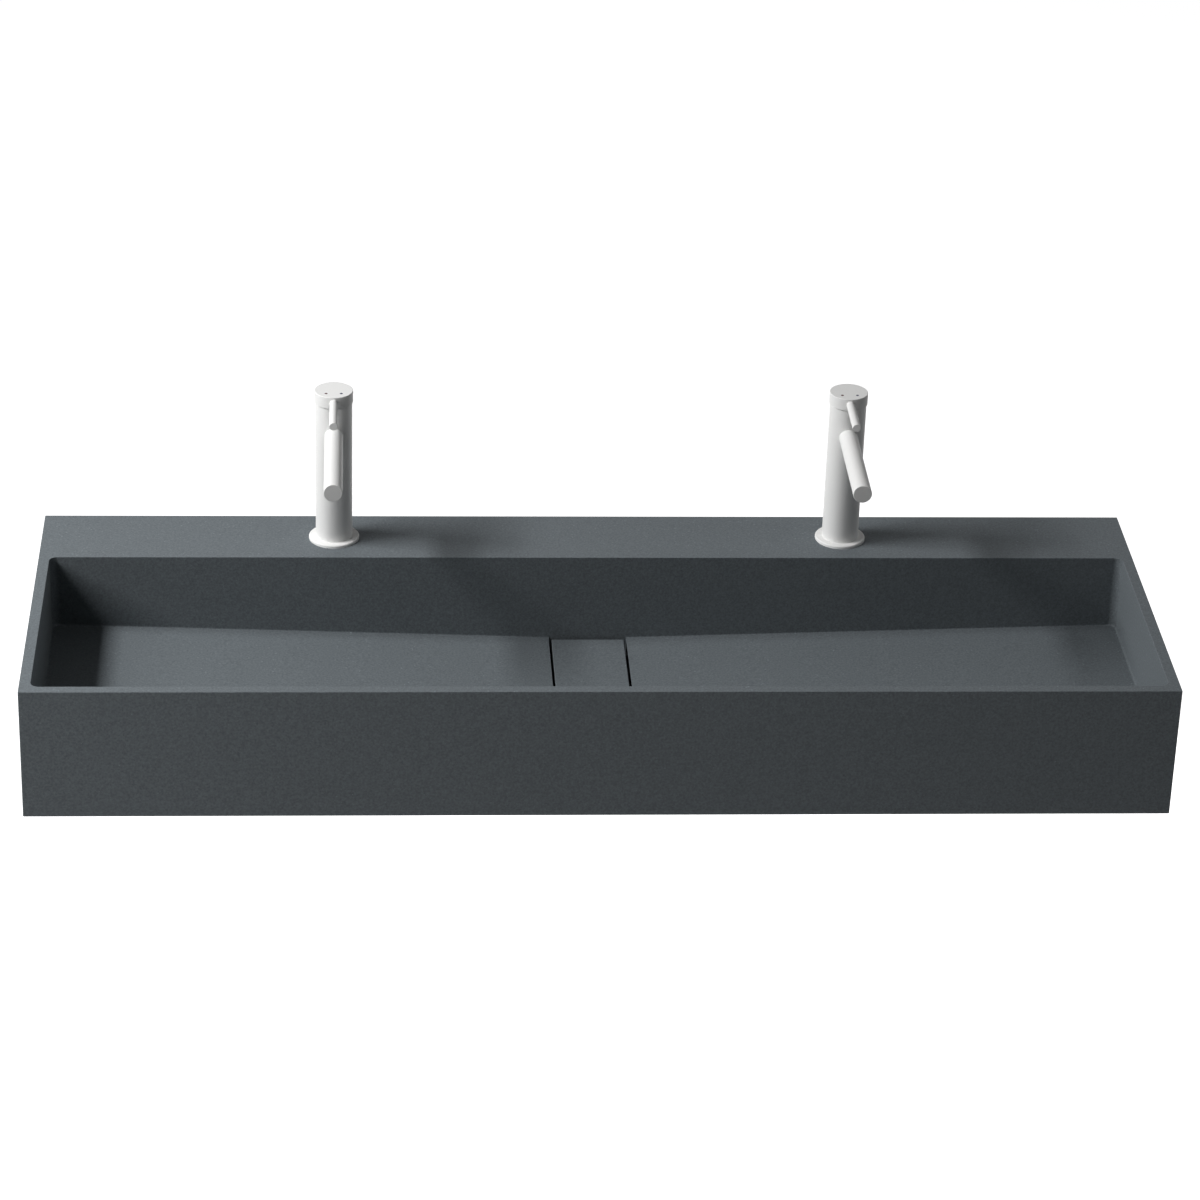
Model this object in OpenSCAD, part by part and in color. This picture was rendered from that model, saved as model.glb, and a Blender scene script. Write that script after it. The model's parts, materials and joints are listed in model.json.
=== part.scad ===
// Wall-hung double washbasin: a long trough with a flat rear deck, a hidden drain under a lift-out cover,
// and two single-lever tube mixers that stand on the deck.
// X runs along the wall, Z is up and the front faces -Y. The wall is the plane y = 0 and the origin is the
// centre of the four wall bolts. Sizes are in millimetres.

/* [Basin] */
// Length along the wall
basin_w = 1200; // [1100:10:1400]
// Depth from the wall to the front face
basin_d = 400; // [380:5:460]
// Height of the front face
basin_h = 148; // [146:1:170]
// Depth of the flat deck behind the bowl
deck_d = 100; // [96:1:120]
// Thickness of the slab that the basin is made of
slab_t = 12; // [11:0.5:13]
// Depth of the bowl at its two ends
bowl_depth = 84; // [76:1:85]
// Extra depth of the floor where it meets the drain
floor_fall = 16; // [8:1:16]
// Radius of the bowl's upright corners
corner_r = 9; // [5:1:18]

/* [Drain] */
// Width of the lift-out cover
cover_w = 80; // [74:1:110]
// Slot on each side of the cover
side_slot = 3; // [2:0.5:6]
// Gap in front of the cover and behind it
end_slot = 4; // [2:0.5:8]
// Height of the water channel under the cover
channel_h = 12; // [10:1:13]
// Fall of the channel floor towards the waste
channel_fall = 3; // [1:0.5:4]
// Length of the waste's threaded tail below the nut
tail_l = 33; // [30:1:60]

/* [Taps] */
// Distance between the two taps
tap_spacing = 560; // [480:10:620]
// Distance of the taps' axes from the wall
tap_setback = 52; // [46:1:58]
// Height of a tap above the deck
tap_h = 179; // [160:1:220]
// Radius of the upright body
body_r = 20; // [19:0.5:22]
// Radius of the flange on the deck
flange_r = 27.5; // [26:0.5:32]
// Thickness of the flange
flange_t = 3.5; // [3:0.5:5]
// Height of the turning head
head_h = 13.5; // [13:0.5:17]
// Overhang of the head past the body
head_overhang = 1; // [0:0.5:2]
// Radius of the spout tube
spout_r = 10; // [9.5:0.5:10.5]
// Reach of the spout from the tap's axis
spout_reach = 157; // [130:1:180]
// Height of the spout's axis below the top of the body
spout_drop = 33; // [32:0.5:34]
// Radius of the lever rod
lever_r = 4.5; // [3.5:0.5:4.5]
// Reach of the lever from the tap's axis
lever_reach = 79; // [60:1:100]
// Angle that the lever lifts through
tilt_max = 16; // [12:1:16]

/* [Wall brackets] */
// Distance from the basin's end to the middle of a bracket
bracket_inset = 200; // [180:10:220]
// Height between the bolts of a bracket
bolt_rise = 60; // [50:1:60]
// Width of a bracket
bracket_w = 60; // [54:1:64]
// Thickness of the bracket steel
bracket_t = 5; // [4:0.5:6]

/* [Hidden] */
$fn = 96;
// Small overrun that keeps a cut clear of the face it opens
cut = 1;
// Clearance between seated pieces of one assembly
seat_gap = 0.05;
// Clearance between pieces that move past each other
run_gap = 0.3;

// Basin levels, measured from the wall bolts
top_z = basin_h / 2;
inner_x = basin_w / 2 - slab_t;
front_y = -basin_d + slab_t;
rear_wall_y = -deck_d + slab_t;
slot_x = cover_w / 2 + side_slot;
floor_end_z = top_z - bowl_depth;
floor_mid_z = floor_end_z - floor_fall;
drain_y = (front_y - deck_d) / 2;

// Cover and the channel under it
cover_t = slab_t;
cover_edge = 0.6;
shelf_l = 34;
shelf_z = floor_mid_z - cover_t - channel_h + channel_fall;
sump_z = shelf_z - channel_fall;
foot_r = 6;
foot_margin = 4;
foot_inset = 15;
foot_x = cover_w / 2 - foot_r - foot_margin;
foot_y = (-deck_d - front_y) / 2 - end_slot - foot_inset;

// Waste with a G 1 1/4 tail
waste_r = 20.95;
shank_r = 20.8;
undercut_r = 20;
undercut_h = 2;
nut_bore_gap = 0.35;
waste_bore_r = 17.5;
waste_hole_r = 23;
waste_flange_r = 31.5;
waste_flange_t = 2.5;
strainer_r = 22.5;
strainer_t = 1.5;
waste_gasket_t = 2;
waste_rim = 0.8;
dish_rim = 6;
hole_r = 2.2;
seat_depth = waste_flange_t + waste_gasket_t;
seat_z = sump_z - seat_depth;
sump_under_z = seat_z - slab_t;
lower_gasket_t = 3;
waste_nut_t = 10;
waste_nut_r = 30;
nut_under_z = sump_under_z - lower_gasket_t - waste_nut_t;
tail_z = nut_under_z - tail_l;
tail_bevel = 1;

// Brackets and the blocks that carry the bowl
bracket_x = basin_w / 2 - bracket_inset;
arm_rise = 18;
arm_top_z = -basin_h / 2 + arm_rise;
leg_over = 15;
leg_top_z = bolt_rise / 2 + leg_over;
web_under = 5;
web_top_z = leg_top_z - web_under;
web_top_l = 10;
web_foot_h = 8;
web_gap = 8;
web_foot_y = rear_wall_y + web_gap;
arm_short = 40;
arm_end_y = front_y + arm_short;
bolt_hole_r = 5.5;
notch_gap = 0.5;
block_w = 46;
block_l = 40;
block_front = 65;
block_rear = 32;
block_ys = [front_y + block_front, -deck_d - block_rear];
insert_r = 6;
insert_l = (floor_under(bracket_x) - arm_top_z) / 2;
bolt_short = 2;
m8_r = 3.95;
m8_clear_r = 4.5;
m8_head_r = 7.5;
m8_head_t = 5.3;
m8_washer_r = 8;
m8_washer_t = 1.6;

// Tap heights above the deck
head_gap = 0.5;
body_top = tap_h - head_h - head_gap;
head_z = tap_h - head_h;
spout_z = body_top - spout_drop;
head_r = body_r + head_overhang;

// Foot of the tap in the deck's hole
deck_hole_r = 17.5;
spigot_r = 16.5;
spigot_short = 2;
spigot_l = slab_t - spigot_short;
flange_gap = 0.1;
flange_bore_r = spigot_r + flange_gap;
flange_bevel = 1;
inlet_x = 6.5;
inlet_y = -4;
inlet_r = 4.5;
inlet_l = 12;
supply_r = 3;
stud_y = 9;
stud_r = 4;
stud_l = 60;
stud_in = 12;
gasket_in_r = 19.2;
gasket_out_r = 23.8;
gasket_t = 1.5;
groove_gap = 0.2;
shoe_r = 25;
shoe_cut_r = 13.5;
shoe_cut_y = -10.5;
shoe_gasket_t = 2;
shoe_washer_t = 3;
stud_nut_r = 7.5;
stud_nut_t = 8;

// Spout and aerator
spout_wall = 1.8;
spout_root = 14.2;
spout_end_t = 2.5;
aerator_r = 7.45;
aerator_in = 12;
aerator_h = 7;
aerator_wall = 1.2;
core_lip = 0.8;
core_rim = 1;
core_slot = 1.2;
core_pitch = 2.4;

// Cartridge, from its foot to the nut that holds it
cavity_r = 14;
cavity_h = 45;
cavity_z = body_top - cavity_h;
housing_r = 12.95;
seal_h = 1;
housing_z = cavity_z + seal_h;
nut_h = 4.5;
nut_z = body_top - nut_h;
nut_bore_r = 9;
key_w = 3;
key_h = 1.5;
chamber_r = 11.5;
chamber_h = 26.5;
chamber_z = body_top - chamber_h;
port_r = 2.5;
outlet_r = 3;
outlet_y = 5;
seal_w = 1.2;
ring_groove = 1;
ring_h = 2;
ring_low = 3;
ring_high = 4;
ring_zs = [housing_z + ring_low, nut_z - ring_high];
disc_t = 3.5;
disc_gap = 0.1;
moving_r = 8.6;
moving_t = 3;
moving_z = chamber_z + disc_t + disc_gap;
pocket_r = 7.2;
pocket_y = -1.2;
pocket_h = 1.4;
coupler_z = moving_z + moving_t;
coupler_h = 4.5;
coupler_floor = 0.5;
ball_r = 2.1;
ball_z = coupler_z + coupler_floor + run_gap + ball_r;
carrier_r = chamber_r - run_gap;
carrier_z = coupler_z + coupler_h + run_gap;
carrier_slot_x = 3.4;
carrier_slot_y = 8.5;
pivot_drop = 8.5;
pivot_z = body_top - pivot_drop;
pin_r = 1.5;
pin_l = 21.6;
eye_r = 3.2;
blade_x = 3;
stem_r = 3.5;
stem_neck_r = 1.8;
blade_over = 1.5;

// Head, measured from its flat underside
head_wall = 3.4;
head_top_t = 3.5;
ceiling_z = tap_h - head_top_t;
boss_r = 7;
boss_rise = 2.5;
boss_z = head_z + boss_rise;
rib_x = 5.5;
stem_short = 1;
stem_top = ceiling_z - stem_short;
lever_z = head_z + head_h / 2;
lever_root = 19;
thread_r = 2.45;
thread_tip = 10;
grub_l = 5;
grub_socket_r = 1.3;
grub_socket_l = 2;
mark_r = 1.1;
mark_t = 0.4;
mark_x = 8.2;
mark_y = -9.5;
relief_r = head_z - pivot_z;

// Colours of the finished piece
stone = [0.16, 0.16, 0.17];
white = [0.93, 0.93, 0.92];
steel = [0.62, 0.63, 0.64];
brass = [0.78, 0.64, 0.34];
rubber = [0.08, 0.08, 0.08];
plastic = [0.85, 0.85, 0.82];
ceramic = [0.95, 0.94, 0.9];

SIDES = ["left", "right"];
TAP_PARTS = ["tap_body", "base_flange", "base_gasket", "spout", "aerator_housing", "aerator_insert",
    "cartridge_housing", "cartridge_seals", "fixed_disc", "moving_disc", "disc_coupler", "swivel_carrier",
    "stem_pin", "stem", "cartridge_nut", "handle_head", "lever", "grub_screw", "hot_mark", "cold_mark"];

// Underside height of the sloping bowl floor at a distance x from the middle
function floor_under(x) =
    floor_mid_z - slab_t + (floor_end_z - floor_mid_z) * (abs(x) - slot_x) / (inner_x - slot_x);

// Rectangle from one corner to the other with round corners
module round_rect(low, high, r) {
    translate([low[0] + r, low[1]])
        square([high[0] - low[0] - 2 * r, high[1] - low[1]]);
    translate([low[0], low[1] + r])
        square([high[0] - low[0], high[1] - low[1] - 2 * r]);
    for (x = [low[0] + r, high[0] - r], y = [low[1] + r, high[1] - r])
        translate([x, y])
            circle(r);
}

// Profile in x and z, drawn out along y from y0 to y1
module along_y(y0, y1) {
    translate([0, y1, 0])
        rotate([90, 0, 0])
            linear_extrude(y1 - y0)
                children();
}

// Profile in y and z, drawn out along x over a width w about the middle
module along_x(w) {
    rotate([90, 0, 90])
        linear_extrude(w, center = true)
            children();
}

// Cylinder along y whose far end lies at y0 and near end at y1
module rod_y(r, y0, y1) {
    translate([0, y1, 0])
        rotate([90, 0, 0])
            cylinder(r = r, h = y1 - y0);
}

// Flat ring from z0 up
module ring(outer, inner, z0, h) {
    difference() {
        translate([0, 0, z0])
            cylinder(r = outer, h = h);
        translate([0, 0, z0 - cut])
            cylinder(r = inner, h = h + 2 * cut);
    }
}

// Places its children at each tap, on the deck
module at_taps() {
    for (side = [-1, 1])
        at_tap(side)
            children();
}

module at_tap(side) {
    translate([side * tap_spacing / 2, -tap_setback, top_z])
        children();
}

// Places its children at the four bolts under the support blocks
module at_blocks() {
    for (side = [-1, 1], y = block_ys)
        translate([side * bracket_x, y, 0])
            children();
}

// Space of the bowl with its floor falling to the middle
module bowl_space() {
    intersection() {
        translate([0, 0, floor_mid_z - cut])
            linear_extrude(top_z - floor_mid_z + 2 * cut)
                round_rect([-inner_x, front_y], [inner_x, -deck_d], corner_r);
        along_y(front_y - cut, -deck_d + cut)
            polygon([[-inner_x - cut, top_z + cut],
                [-inner_x - cut, floor_end_z + floor_fall * cut / (inner_x - slot_x)],
                [-slot_x, floor_mid_z], [slot_x, floor_mid_z],
                [inner_x + cut, floor_end_z + floor_fall * cut / (inner_x - slot_x)],
                [inner_x + cut, top_z + cut]]);
    }
}

// Channel under the cover, with a level shelf at each end and a fall to the waste
module channel_space() {
    dish_r = waste_flange_r + dish_rim;
    along_x(2 * slot_x)
        polygon([[front_y, floor_mid_z + cut], [front_y, shelf_z], [front_y + shelf_l, shelf_z],
            [drain_y - dish_r, sump_z], [drain_y + dish_r, sump_z],
            [-deck_d - shelf_l, shelf_z], [-deck_d, shelf_z], [-deck_d, floor_mid_z + cut]]);
    translate([0, drain_y, seat_z])
        cylinder(r = waste_flange_r + cut, h = seat_depth + cut);
    translate([0, drain_y, sump_under_z - cut])
        cylinder(r = waste_hole_r, h = slab_t + 2 * cut);
}

// Hollow underside, in front under the bowl and behind under the deck
module underside_space() {
    sump_x = slot_x + slab_t;
    below = -basin_h / 2 - cut;
    along_y(front_y, rear_wall_y + cut)
        polygon([[-inner_x, below], [-inner_x, floor_under(inner_x)], [-sump_x, floor_under(sump_x)],
            [-sump_x, sump_under_z], [sump_x, sump_under_z], [sump_x, floor_under(sump_x)],
            [inner_x, floor_under(inner_x)], [inner_x, below]]);
    translate([-inner_x, rear_wall_y, below])
        cube([2 * inner_x, -slab_t - rear_wall_y, top_z - slab_t - below]);
}

module basin_body() {
    notch_w = bracket_w + 2 * notch_gap;
    color(stone)
        difference() {
            translate([-basin_w / 2, -basin_d, -basin_h / 2])
                cube([basin_w, basin_d, basin_h]);
            bowl_space();
            channel_space();
            underside_space();
            at_taps()
                translate([0, 0, -slab_t - cut])
                    cylinder(r = deck_hole_r, h = slab_t + 2 * cut);
            for (side = [-1, 1])
                translate([side * bracket_x - notch_w / 2, -slab_t - cut, -basin_h / 2 - cut])
                    cube([notch_w, slab_t + 2 * cut, basin_h / 2 + cut + leg_top_z + notch_gap]);
        }
}

module drain_cover() {
    low_y = front_y + end_slot;
    high_y = -deck_d - end_slot;
    half = cover_w / 2;
    under_z = floor_mid_z - cover_t;
    color(stone)
        along_y(low_y, high_y)
            polygon([[-half, under_z], [half, under_z], [half, floor_mid_z - cover_edge],
                [half - cover_edge, floor_mid_z], [-half + cover_edge, floor_mid_z],
                [-half, floor_mid_z - cover_edge]]);
}

module cover_feet() {
    color(rubber)
        for (x = [-1, 1], y = [-1, 1])
            translate([x * foot_x, drain_y + y * foot_y, shelf_z + run_gap])
                cylinder(r = foot_r, h = floor_mid_z - cover_t - shelf_z - run_gap);
}

module waste_flange() {
    flange_z = sump_z - waste_flange_t;
    color(steel)
        translate([0, drain_y, 0])
            rotate_extrude()
                polygon([[waste_bore_r, tail_z], [waste_r - tail_bevel, tail_z],
                    [waste_r, tail_z + tail_bevel], [waste_r, nut_under_z - undercut_h],
                    [undercut_r, nut_under_z - undercut_h], [undercut_r, nut_under_z], [shank_r, nut_under_z],
                    [shank_r, flange_z], [waste_flange_r, flange_z], [waste_flange_r, sump_z - waste_rim],
                    [waste_flange_r - waste_rim, sump_z], [strainer_r + seat_gap, sump_z],
                    [strainer_r + seat_gap, sump_z - strainer_t], [waste_bore_r, sump_z - strainer_t]]);
}

module waste_strainer() {
    color(steel)
        translate([0, drain_y, sump_z - strainer_t])
            difference() {
                cylinder(r = strainer_r, h = strainer_t);
                for (row = [[1, 0], [6, 6.5], [12, 13]], i = [0 : row[0] - 1])
                    rotate([0, 0, i * 360 / row[0]])
                        translate([row[1], 0, -cut])
                            cylinder(r = hole_r, h = strainer_t + 2 * cut);
            }
}

module waste_top_gasket() {
    color(rubber)
        translate([0, drain_y, 0])
            ring(waste_flange_r - 0.5, waste_hole_r, seat_z, waste_gasket_t);
}

module waste_bottom_gasket() {
    color(rubber)
        translate([0, drain_y, 0])
            ring(waste_nut_r, shank_r + nut_bore_gap, sump_under_z - lower_gasket_t, lower_gasket_t);
}

module waste_nut() {
    color(brass)
        translate([0, drain_y, nut_under_z])
            difference() {
                cylinder(r = waste_nut_r, h = waste_nut_t, $fn = 6);
                translate([0, 0, -cut])
                    cylinder(r = shank_r + nut_bore_gap, h = waste_nut_t + 2 * cut);
            }
}

// Angle bracket: leg on the wall, arm under the bowl and a web along its outer edge
module bracket(side) {
    color(steel)
        translate([side * bracket_x, 0, 0])
            difference() {
                union() {
                    along_x(bracket_w)
                        polygon([[0, leg_top_z], [-bracket_t, leg_top_z], [-bracket_t, arm_top_z],
                            [arm_end_y, arm_top_z], [arm_end_y, arm_top_z - bracket_t],
                            [0, arm_top_z - bracket_t]]);
                    translate([side * (bracket_w - bracket_t) / 2, 0, 0])
                        along_x(bracket_t)
                            polygon([[-bracket_t / 2, arm_top_z - bracket_t / 2],
                                [-bracket_t / 2, web_top_z], [-bracket_t - web_top_l, web_top_z],
                                [web_foot_y, arm_top_z + web_foot_h],
                                [web_foot_y, arm_top_z - bracket_t / 2]]);
                }
                for (z = [-bolt_rise / 2, bolt_rise / 2])
                    translate([0, 0, z])
                        rod_y(bolt_hole_r, -bracket_t - cut, cut);
                for (y = block_ys)
                    translate([0, y, arm_top_z - bracket_t - cut])
                        cylinder(r = m8_clear_r, h = bracket_t + 2 * cut);
            }
}

// Blocks bonded under the bowl, cut to the slope of its floor
module support_blocks() {
    color(stone)
        difference() {
            for (side = [-1, 1], y = block_ys)
                let (near = bracket_x - block_w / 2, far = near + block_w)
                    along_y(y - block_l / 2, y + block_l / 2)
                        polygon([[side * near, arm_top_z], [side * far, arm_top_z],
                            [side * far, floor_under(far)], [side * near, floor_under(near)]]);
            at_blocks()
                translate([0, 0, arm_top_z - cut])
                    cylinder(r = insert_r + seat_gap, h = insert_l + cut);
        }
}

module block_inserts() {
    color(brass)
        at_blocks()
            ring(insert_r, m8_r + seat_gap, arm_top_z, insert_l);
}

module bracket_bolts() {
    under = arm_top_z - bracket_t - m8_washer_t;
    color(steel)
        at_blocks() {
            translate([0, 0, under - m8_head_t])
                cylinder(r = m8_head_r, h = m8_head_t, $fn = 6);
            translate([0, 0, under])
                cylinder(r = m8_r, h = arm_top_z + insert_l - bolt_short - under);
        }
}

module bracket_washers() {
    color(steel)
        at_blocks()
            ring(m8_washer_r, m8_clear_r, arm_top_z - bracket_t - m8_washer_t, m8_washer_t);
}

module tap_studs() {
    color(steel)
        at_taps()
            translate([0, stud_y, -spigot_l + stud_in - stud_l])
                cylinder(r = stud_r - seat_gap, h = stud_l);
}

module stud_nuts() {
    color(brass)
        at_taps()
            translate([0, stud_y, -slab_t - shoe_gasket_t - shoe_washer_t - stud_nut_t])
                difference() {
                    cylinder(r = stud_nut_r, h = stud_nut_t, $fn = 6);
                    translate([0, 0, -cut])
                        cylinder(r = stud_r, h = stud_nut_t + 2 * cut);
                }
}

// Open ring that slips round the hoses from the front
module horseshoe(t) {
    difference() {
        cylinder(r = shoe_r, h = t);
        translate([0, shoe_cut_y, -cut])
            cylinder(r = shoe_cut_r, h = t + 2 * cut);
        translate([-shoe_cut_r, -shoe_r - cut, -cut])
            cube([2 * shoe_cut_r, shoe_r + cut + shoe_cut_y, t + 2 * cut]);
        translate([0, stud_y, -cut])
            cylinder(r = stud_r + seat_gap, h = t + 2 * cut);
    }
}

module shoe_gaskets() {
    color(rubber)
        at_taps()
            translate([0, 0, -slab_t - shoe_gasket_t])
                horseshoe(shoe_gasket_t);
}

module shoe_washers() {
    color(steel)
        at_taps()
            translate([0, 0, -slab_t - shoe_gasket_t - shoe_washer_t])
                horseshoe(shoe_washer_t);
}

module tap_body() {
    color(white)
        difference() {
            union() {
                translate([0, 0, flange_t])
                    cylinder(r = body_r, h = body_top - flange_t);
                translate([0, 0, -spigot_l])
                    cylinder(r = spigot_r, h = spigot_l + flange_t + cut);
            }
            translate([0, 0, cavity_z])
                cylinder(r = cavity_r, h = body_top - cavity_z + cut);
            for (x = [-inlet_x, inlet_x])
                translate([x, inlet_y, -spigot_l - cut]) {
                    cylinder(r = supply_r, h = cavity_z + spigot_l + 2 * cut);
                    cylinder(r = inlet_r, h = inlet_l + cut);
                }
            translate([0, stud_y, -spigot_l - cut])
                cylinder(r = stud_r, h = stud_in + cut);
            translate([0, 0, spout_z])
                rod_y(spout_r + seat_gap, -body_r - cut, 0);
        }
}

module base_flange() {
    groove_in = gasket_in_r - groove_gap;
    groove_out = gasket_out_r + groove_gap;
    color(white)
        rotate_extrude()
            polygon([[flange_bore_r, 0], [groove_in, 0], [groove_in, gasket_t], [groove_out, gasket_t],
                [groove_out, 0], [flange_r, 0], [flange_r, flange_t - flange_bevel],
                [flange_r - flange_bevel, flange_t], [flange_bore_r, flange_t]]);
}

module base_gasket() {
    color(rubber)
        ring(gasket_out_r, gasket_in_r, 0, gasket_t);
}

module spout() {
    bore_r = spout_r - spout_wall;
    color(white)
        translate([0, 0, spout_z])
            difference() {
                rod_y(spout_r, -spout_reach, -spout_root);
                rod_y(bore_r, -spout_reach + spout_end_t, -spout_root + cut);
                translate([0, -spout_reach + aerator_in, -spout_r - cut])
                    cylinder(r = aerator_r + seat_gap, h = spout_r + cut);
            }
}

module aerator_housing() {
    color(steel)
        translate([0, -spout_reach + aerator_in, spout_z - spout_r])
            ring(aerator_r, aerator_r - aerator_wall, 0, aerator_h);
}

// Slotted core that breaks the jet
module aerator_insert() {
    core_r = aerator_r - aerator_wall - seat_gap;
    core_h = aerator_h - 2 * core_lip;
    color(plastic)
        translate([0, -spout_reach + aerator_in, spout_z - spout_r + core_lip])
            difference() {
                cylinder(r = core_r, h = core_h);
                intersection() {
                    translate([0, 0, -cut])
                        cylinder(r = core_r - core_rim, h = core_h + 2 * cut);
                    for (i = [-1.5 : 1.5])
                        translate([i * core_pitch - core_slot / 2, -core_r, -cut])
                            cube([core_slot, 2 * core_r, core_h + 2 * cut]);
                }
            }
}

module cartridge_housing() {
    color(plastic)
        difference() {
            translate([0, 0, housing_z])
                cylinder(r = housing_r, h = nut_z - housing_z);
            translate([0, 0, chamber_z])
                cylinder(r = chamber_r, h = nut_z - chamber_z + cut);
            for (x = [-inlet_x, inlet_x])
                translate([x, inlet_y, housing_z - cut])
                    cylinder(r = port_r, h = chamber_z - housing_z + 2 * cut);
            translate([0, outlet_y, spout_z])
                cylinder(r = outlet_r, h = chamber_z - spout_z + cut);
            translate([0, 0, spout_z])
                rod_y(outlet_r, -housing_r - cut, outlet_y);
            for (z = ring_zs)
                ring(housing_r + cut, housing_r - ring_groove, z, ring_h);
        }
}

module cartridge_seals() {
    color(rubber) {
        for (x = [-inlet_x, inlet_x])
            translate([x, inlet_y, 0])
                ring(supply_r + seal_w, supply_r, cavity_z, seal_h);
        for (z = ring_zs)
            ring(cavity_r, housing_r - ring_groove, z, ring_h);
    }
}

module fixed_disc() {
    color(ceramic)
        difference() {
            translate([0, 0, chamber_z])
                cylinder(r = chamber_r - seat_gap, h = disc_t);
            for (x = [-inlet_x, inlet_x])
                translate([x, inlet_y, chamber_z - cut])
                    cylinder(r = port_r, h = disc_t + 2 * cut);
            translate([0, outlet_y, chamber_z - cut])
                cylinder(r = outlet_r, h = disc_t + 2 * cut);
        }
}

// Disc whose pocket joins the ports once it slides forward
module moving_disc() {
    color(ceramic)
        difference() {
            translate([0, 0, moving_z])
                cylinder(r = moving_r, h = moving_t);
            translate([0, 0, moving_z - cut])
                linear_extrude(pocket_h + cut)
                    intersection() {
                        circle(pocket_r);
                        translate([-pocket_r, pocket_y])
                            square([2 * pocket_r, 2 * pocket_r]);
                    }
        }
}

module disc_coupler() {
    slot = ball_r + run_gap;
    color(plastic)
        difference() {
            translate([0, 0, coupler_z])
                cylinder(r = moving_r, h = coupler_h);
            translate([-slot, -slot, coupler_z + coupler_floor])
                cube([2 * slot, 2 * slot, coupler_h]);
        }
}

module swivel_carrier() {
    carrier_h = nut_z - run_gap - carrier_z;
    color(plastic)
        difference() {
            translate([0, 0, carrier_z])
                cylinder(r = carrier_r, h = carrier_h);
            translate([-carrier_slot_x, -carrier_slot_y, carrier_z - cut])
                cube([2 * carrier_slot_x, 2 * carrier_slot_y, carrier_h + 2 * cut]);
            translate([-carrier_r - cut, 0, pivot_z])
                rotate([0, 90, 0])
                    cylinder(r = pin_r, h = 2 * carrier_r + 2 * cut);
        }
}

module stem_pin() {
    color(steel)
        translate([-pin_l / 2, 0, pivot_z])
            rotate([0, 90, 0])
                cylinder(r = pin_r, h = pin_l);
}

module stem() {
    color(brass)
        difference() {
            union() {
                translate([0, 0, ball_z])
                    sphere(ball_r);
                translate([0, 0, ball_z])
                    cylinder(r = stem_neck_r, h = pivot_z - ball_z);
                translate([-blade_x, 0, pivot_z])
                    rotate([0, 90, 0])
                        cylinder(r = eye_r, h = 2 * blade_x);
                translate([-blade_x, -blade_x, pivot_z])
                    cube([2 * blade_x, 2 * blade_x, nut_z + blade_over - pivot_z]);
                translate([0, 0, nut_z + blade_over - seat_gap])
                    cylinder(r = stem_r, h = stem_top - nut_z - blade_over + seat_gap);
            }
            translate([-blade_x - cut, 0, pivot_z])
                rotate([0, 90, 0])
                    cylinder(r = pin_r + seat_gap, h = 2 * blade_x + 2 * cut);
        }
}

// Ring nut with four notches for the key
module cartridge_nut() {
    color(brass)
        difference() {
            ring(cavity_r - seat_gap, nut_bore_r, nut_z, body_top - nut_z);
            for (a = [45, 135])
                rotate([0, 0, a])
                    translate([-cavity_r, -key_w / 2, body_top - key_h])
                        cube([2 * cavity_r, key_w, key_h + cut]);
        }
}

// Cap whose rear underside is cut back, so that it can tip by tilt_max over the body
module handle_head() {
    relief_y = -relief_r * tan(tilt_max / 2);
    reach = head_r + cut;
    rear_z = pivot_z + (relief_r + reach * sin(tilt_max)) / cos(tilt_max);
    color(white)
        difference() {
            translate([0, 0, head_z])
                cylinder(r = head_r, h = head_h);
            difference() {
                translate([0, 0, head_z - cut])
                    cylinder(r = head_r - head_wall, h = ceiling_z - head_z + cut);
                translate([0, 0, boss_z])
                    cylinder(r = boss_r, h = head_h);
                translate([-rib_x, -head_r, boss_z])
                    cube([2 * rib_x, head_r, head_h]);
            }
            translate([0, 0, head_z - cut])
                cylinder(r = stem_r + seat_gap, h = stem_top + seat_gap - head_z + cut);
            translate([0, 0, lever_z]) {
                rod_y(thread_r + seat_gap, -head_r, 0);
                rod_y(lever_r + seat_gap, -head_r - cut, -lever_root);
            }
            for (x = [-mark_x, mark_x])
                translate([x, mark_y, tap_h - mark_t])
                    cylinder(r = mark_r, h = mark_t + cut);
            along_x(2 * reach)
                polygon([[relief_y, head_z], [reach, rear_z], [reach, head_z - cut],
                    [relief_y, head_z - cut]]);
        }
}

module lever() {
    color(white)
        translate([0, 0, lever_z]) {
            rod_y(lever_r, -lever_reach, -lever_root);
            rod_y(thread_r, -lever_root, -thread_tip);
        }
}

// Set screw behind the lever that holds the head on the stem
module grub_screw() {
    color(steel)
        translate([0, 0, lever_z])
            difference() {
                rod_y(thread_r, -stem_r - grub_l, -stem_r);
                translate([0, -stem_r - grub_l + grub_socket_l, 0])
                    rotate([90, 0, 0])
                        cylinder(r = grub_socket_r, h = grub_socket_l + cut, $fn = 6);
            }
}

module colour_mark(side) {
    translate([side * mark_x, mark_y, tap_h - mark_t])
        cylinder(r = mark_r, h = mark_t);
}

module hot_mark() {
    color([0.75, 0.12, 0.1])
        colour_mark(-1);
}

module cold_mark() {
    color([0.1, 0.25, 0.7])
        colour_mark(1);
}

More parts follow.
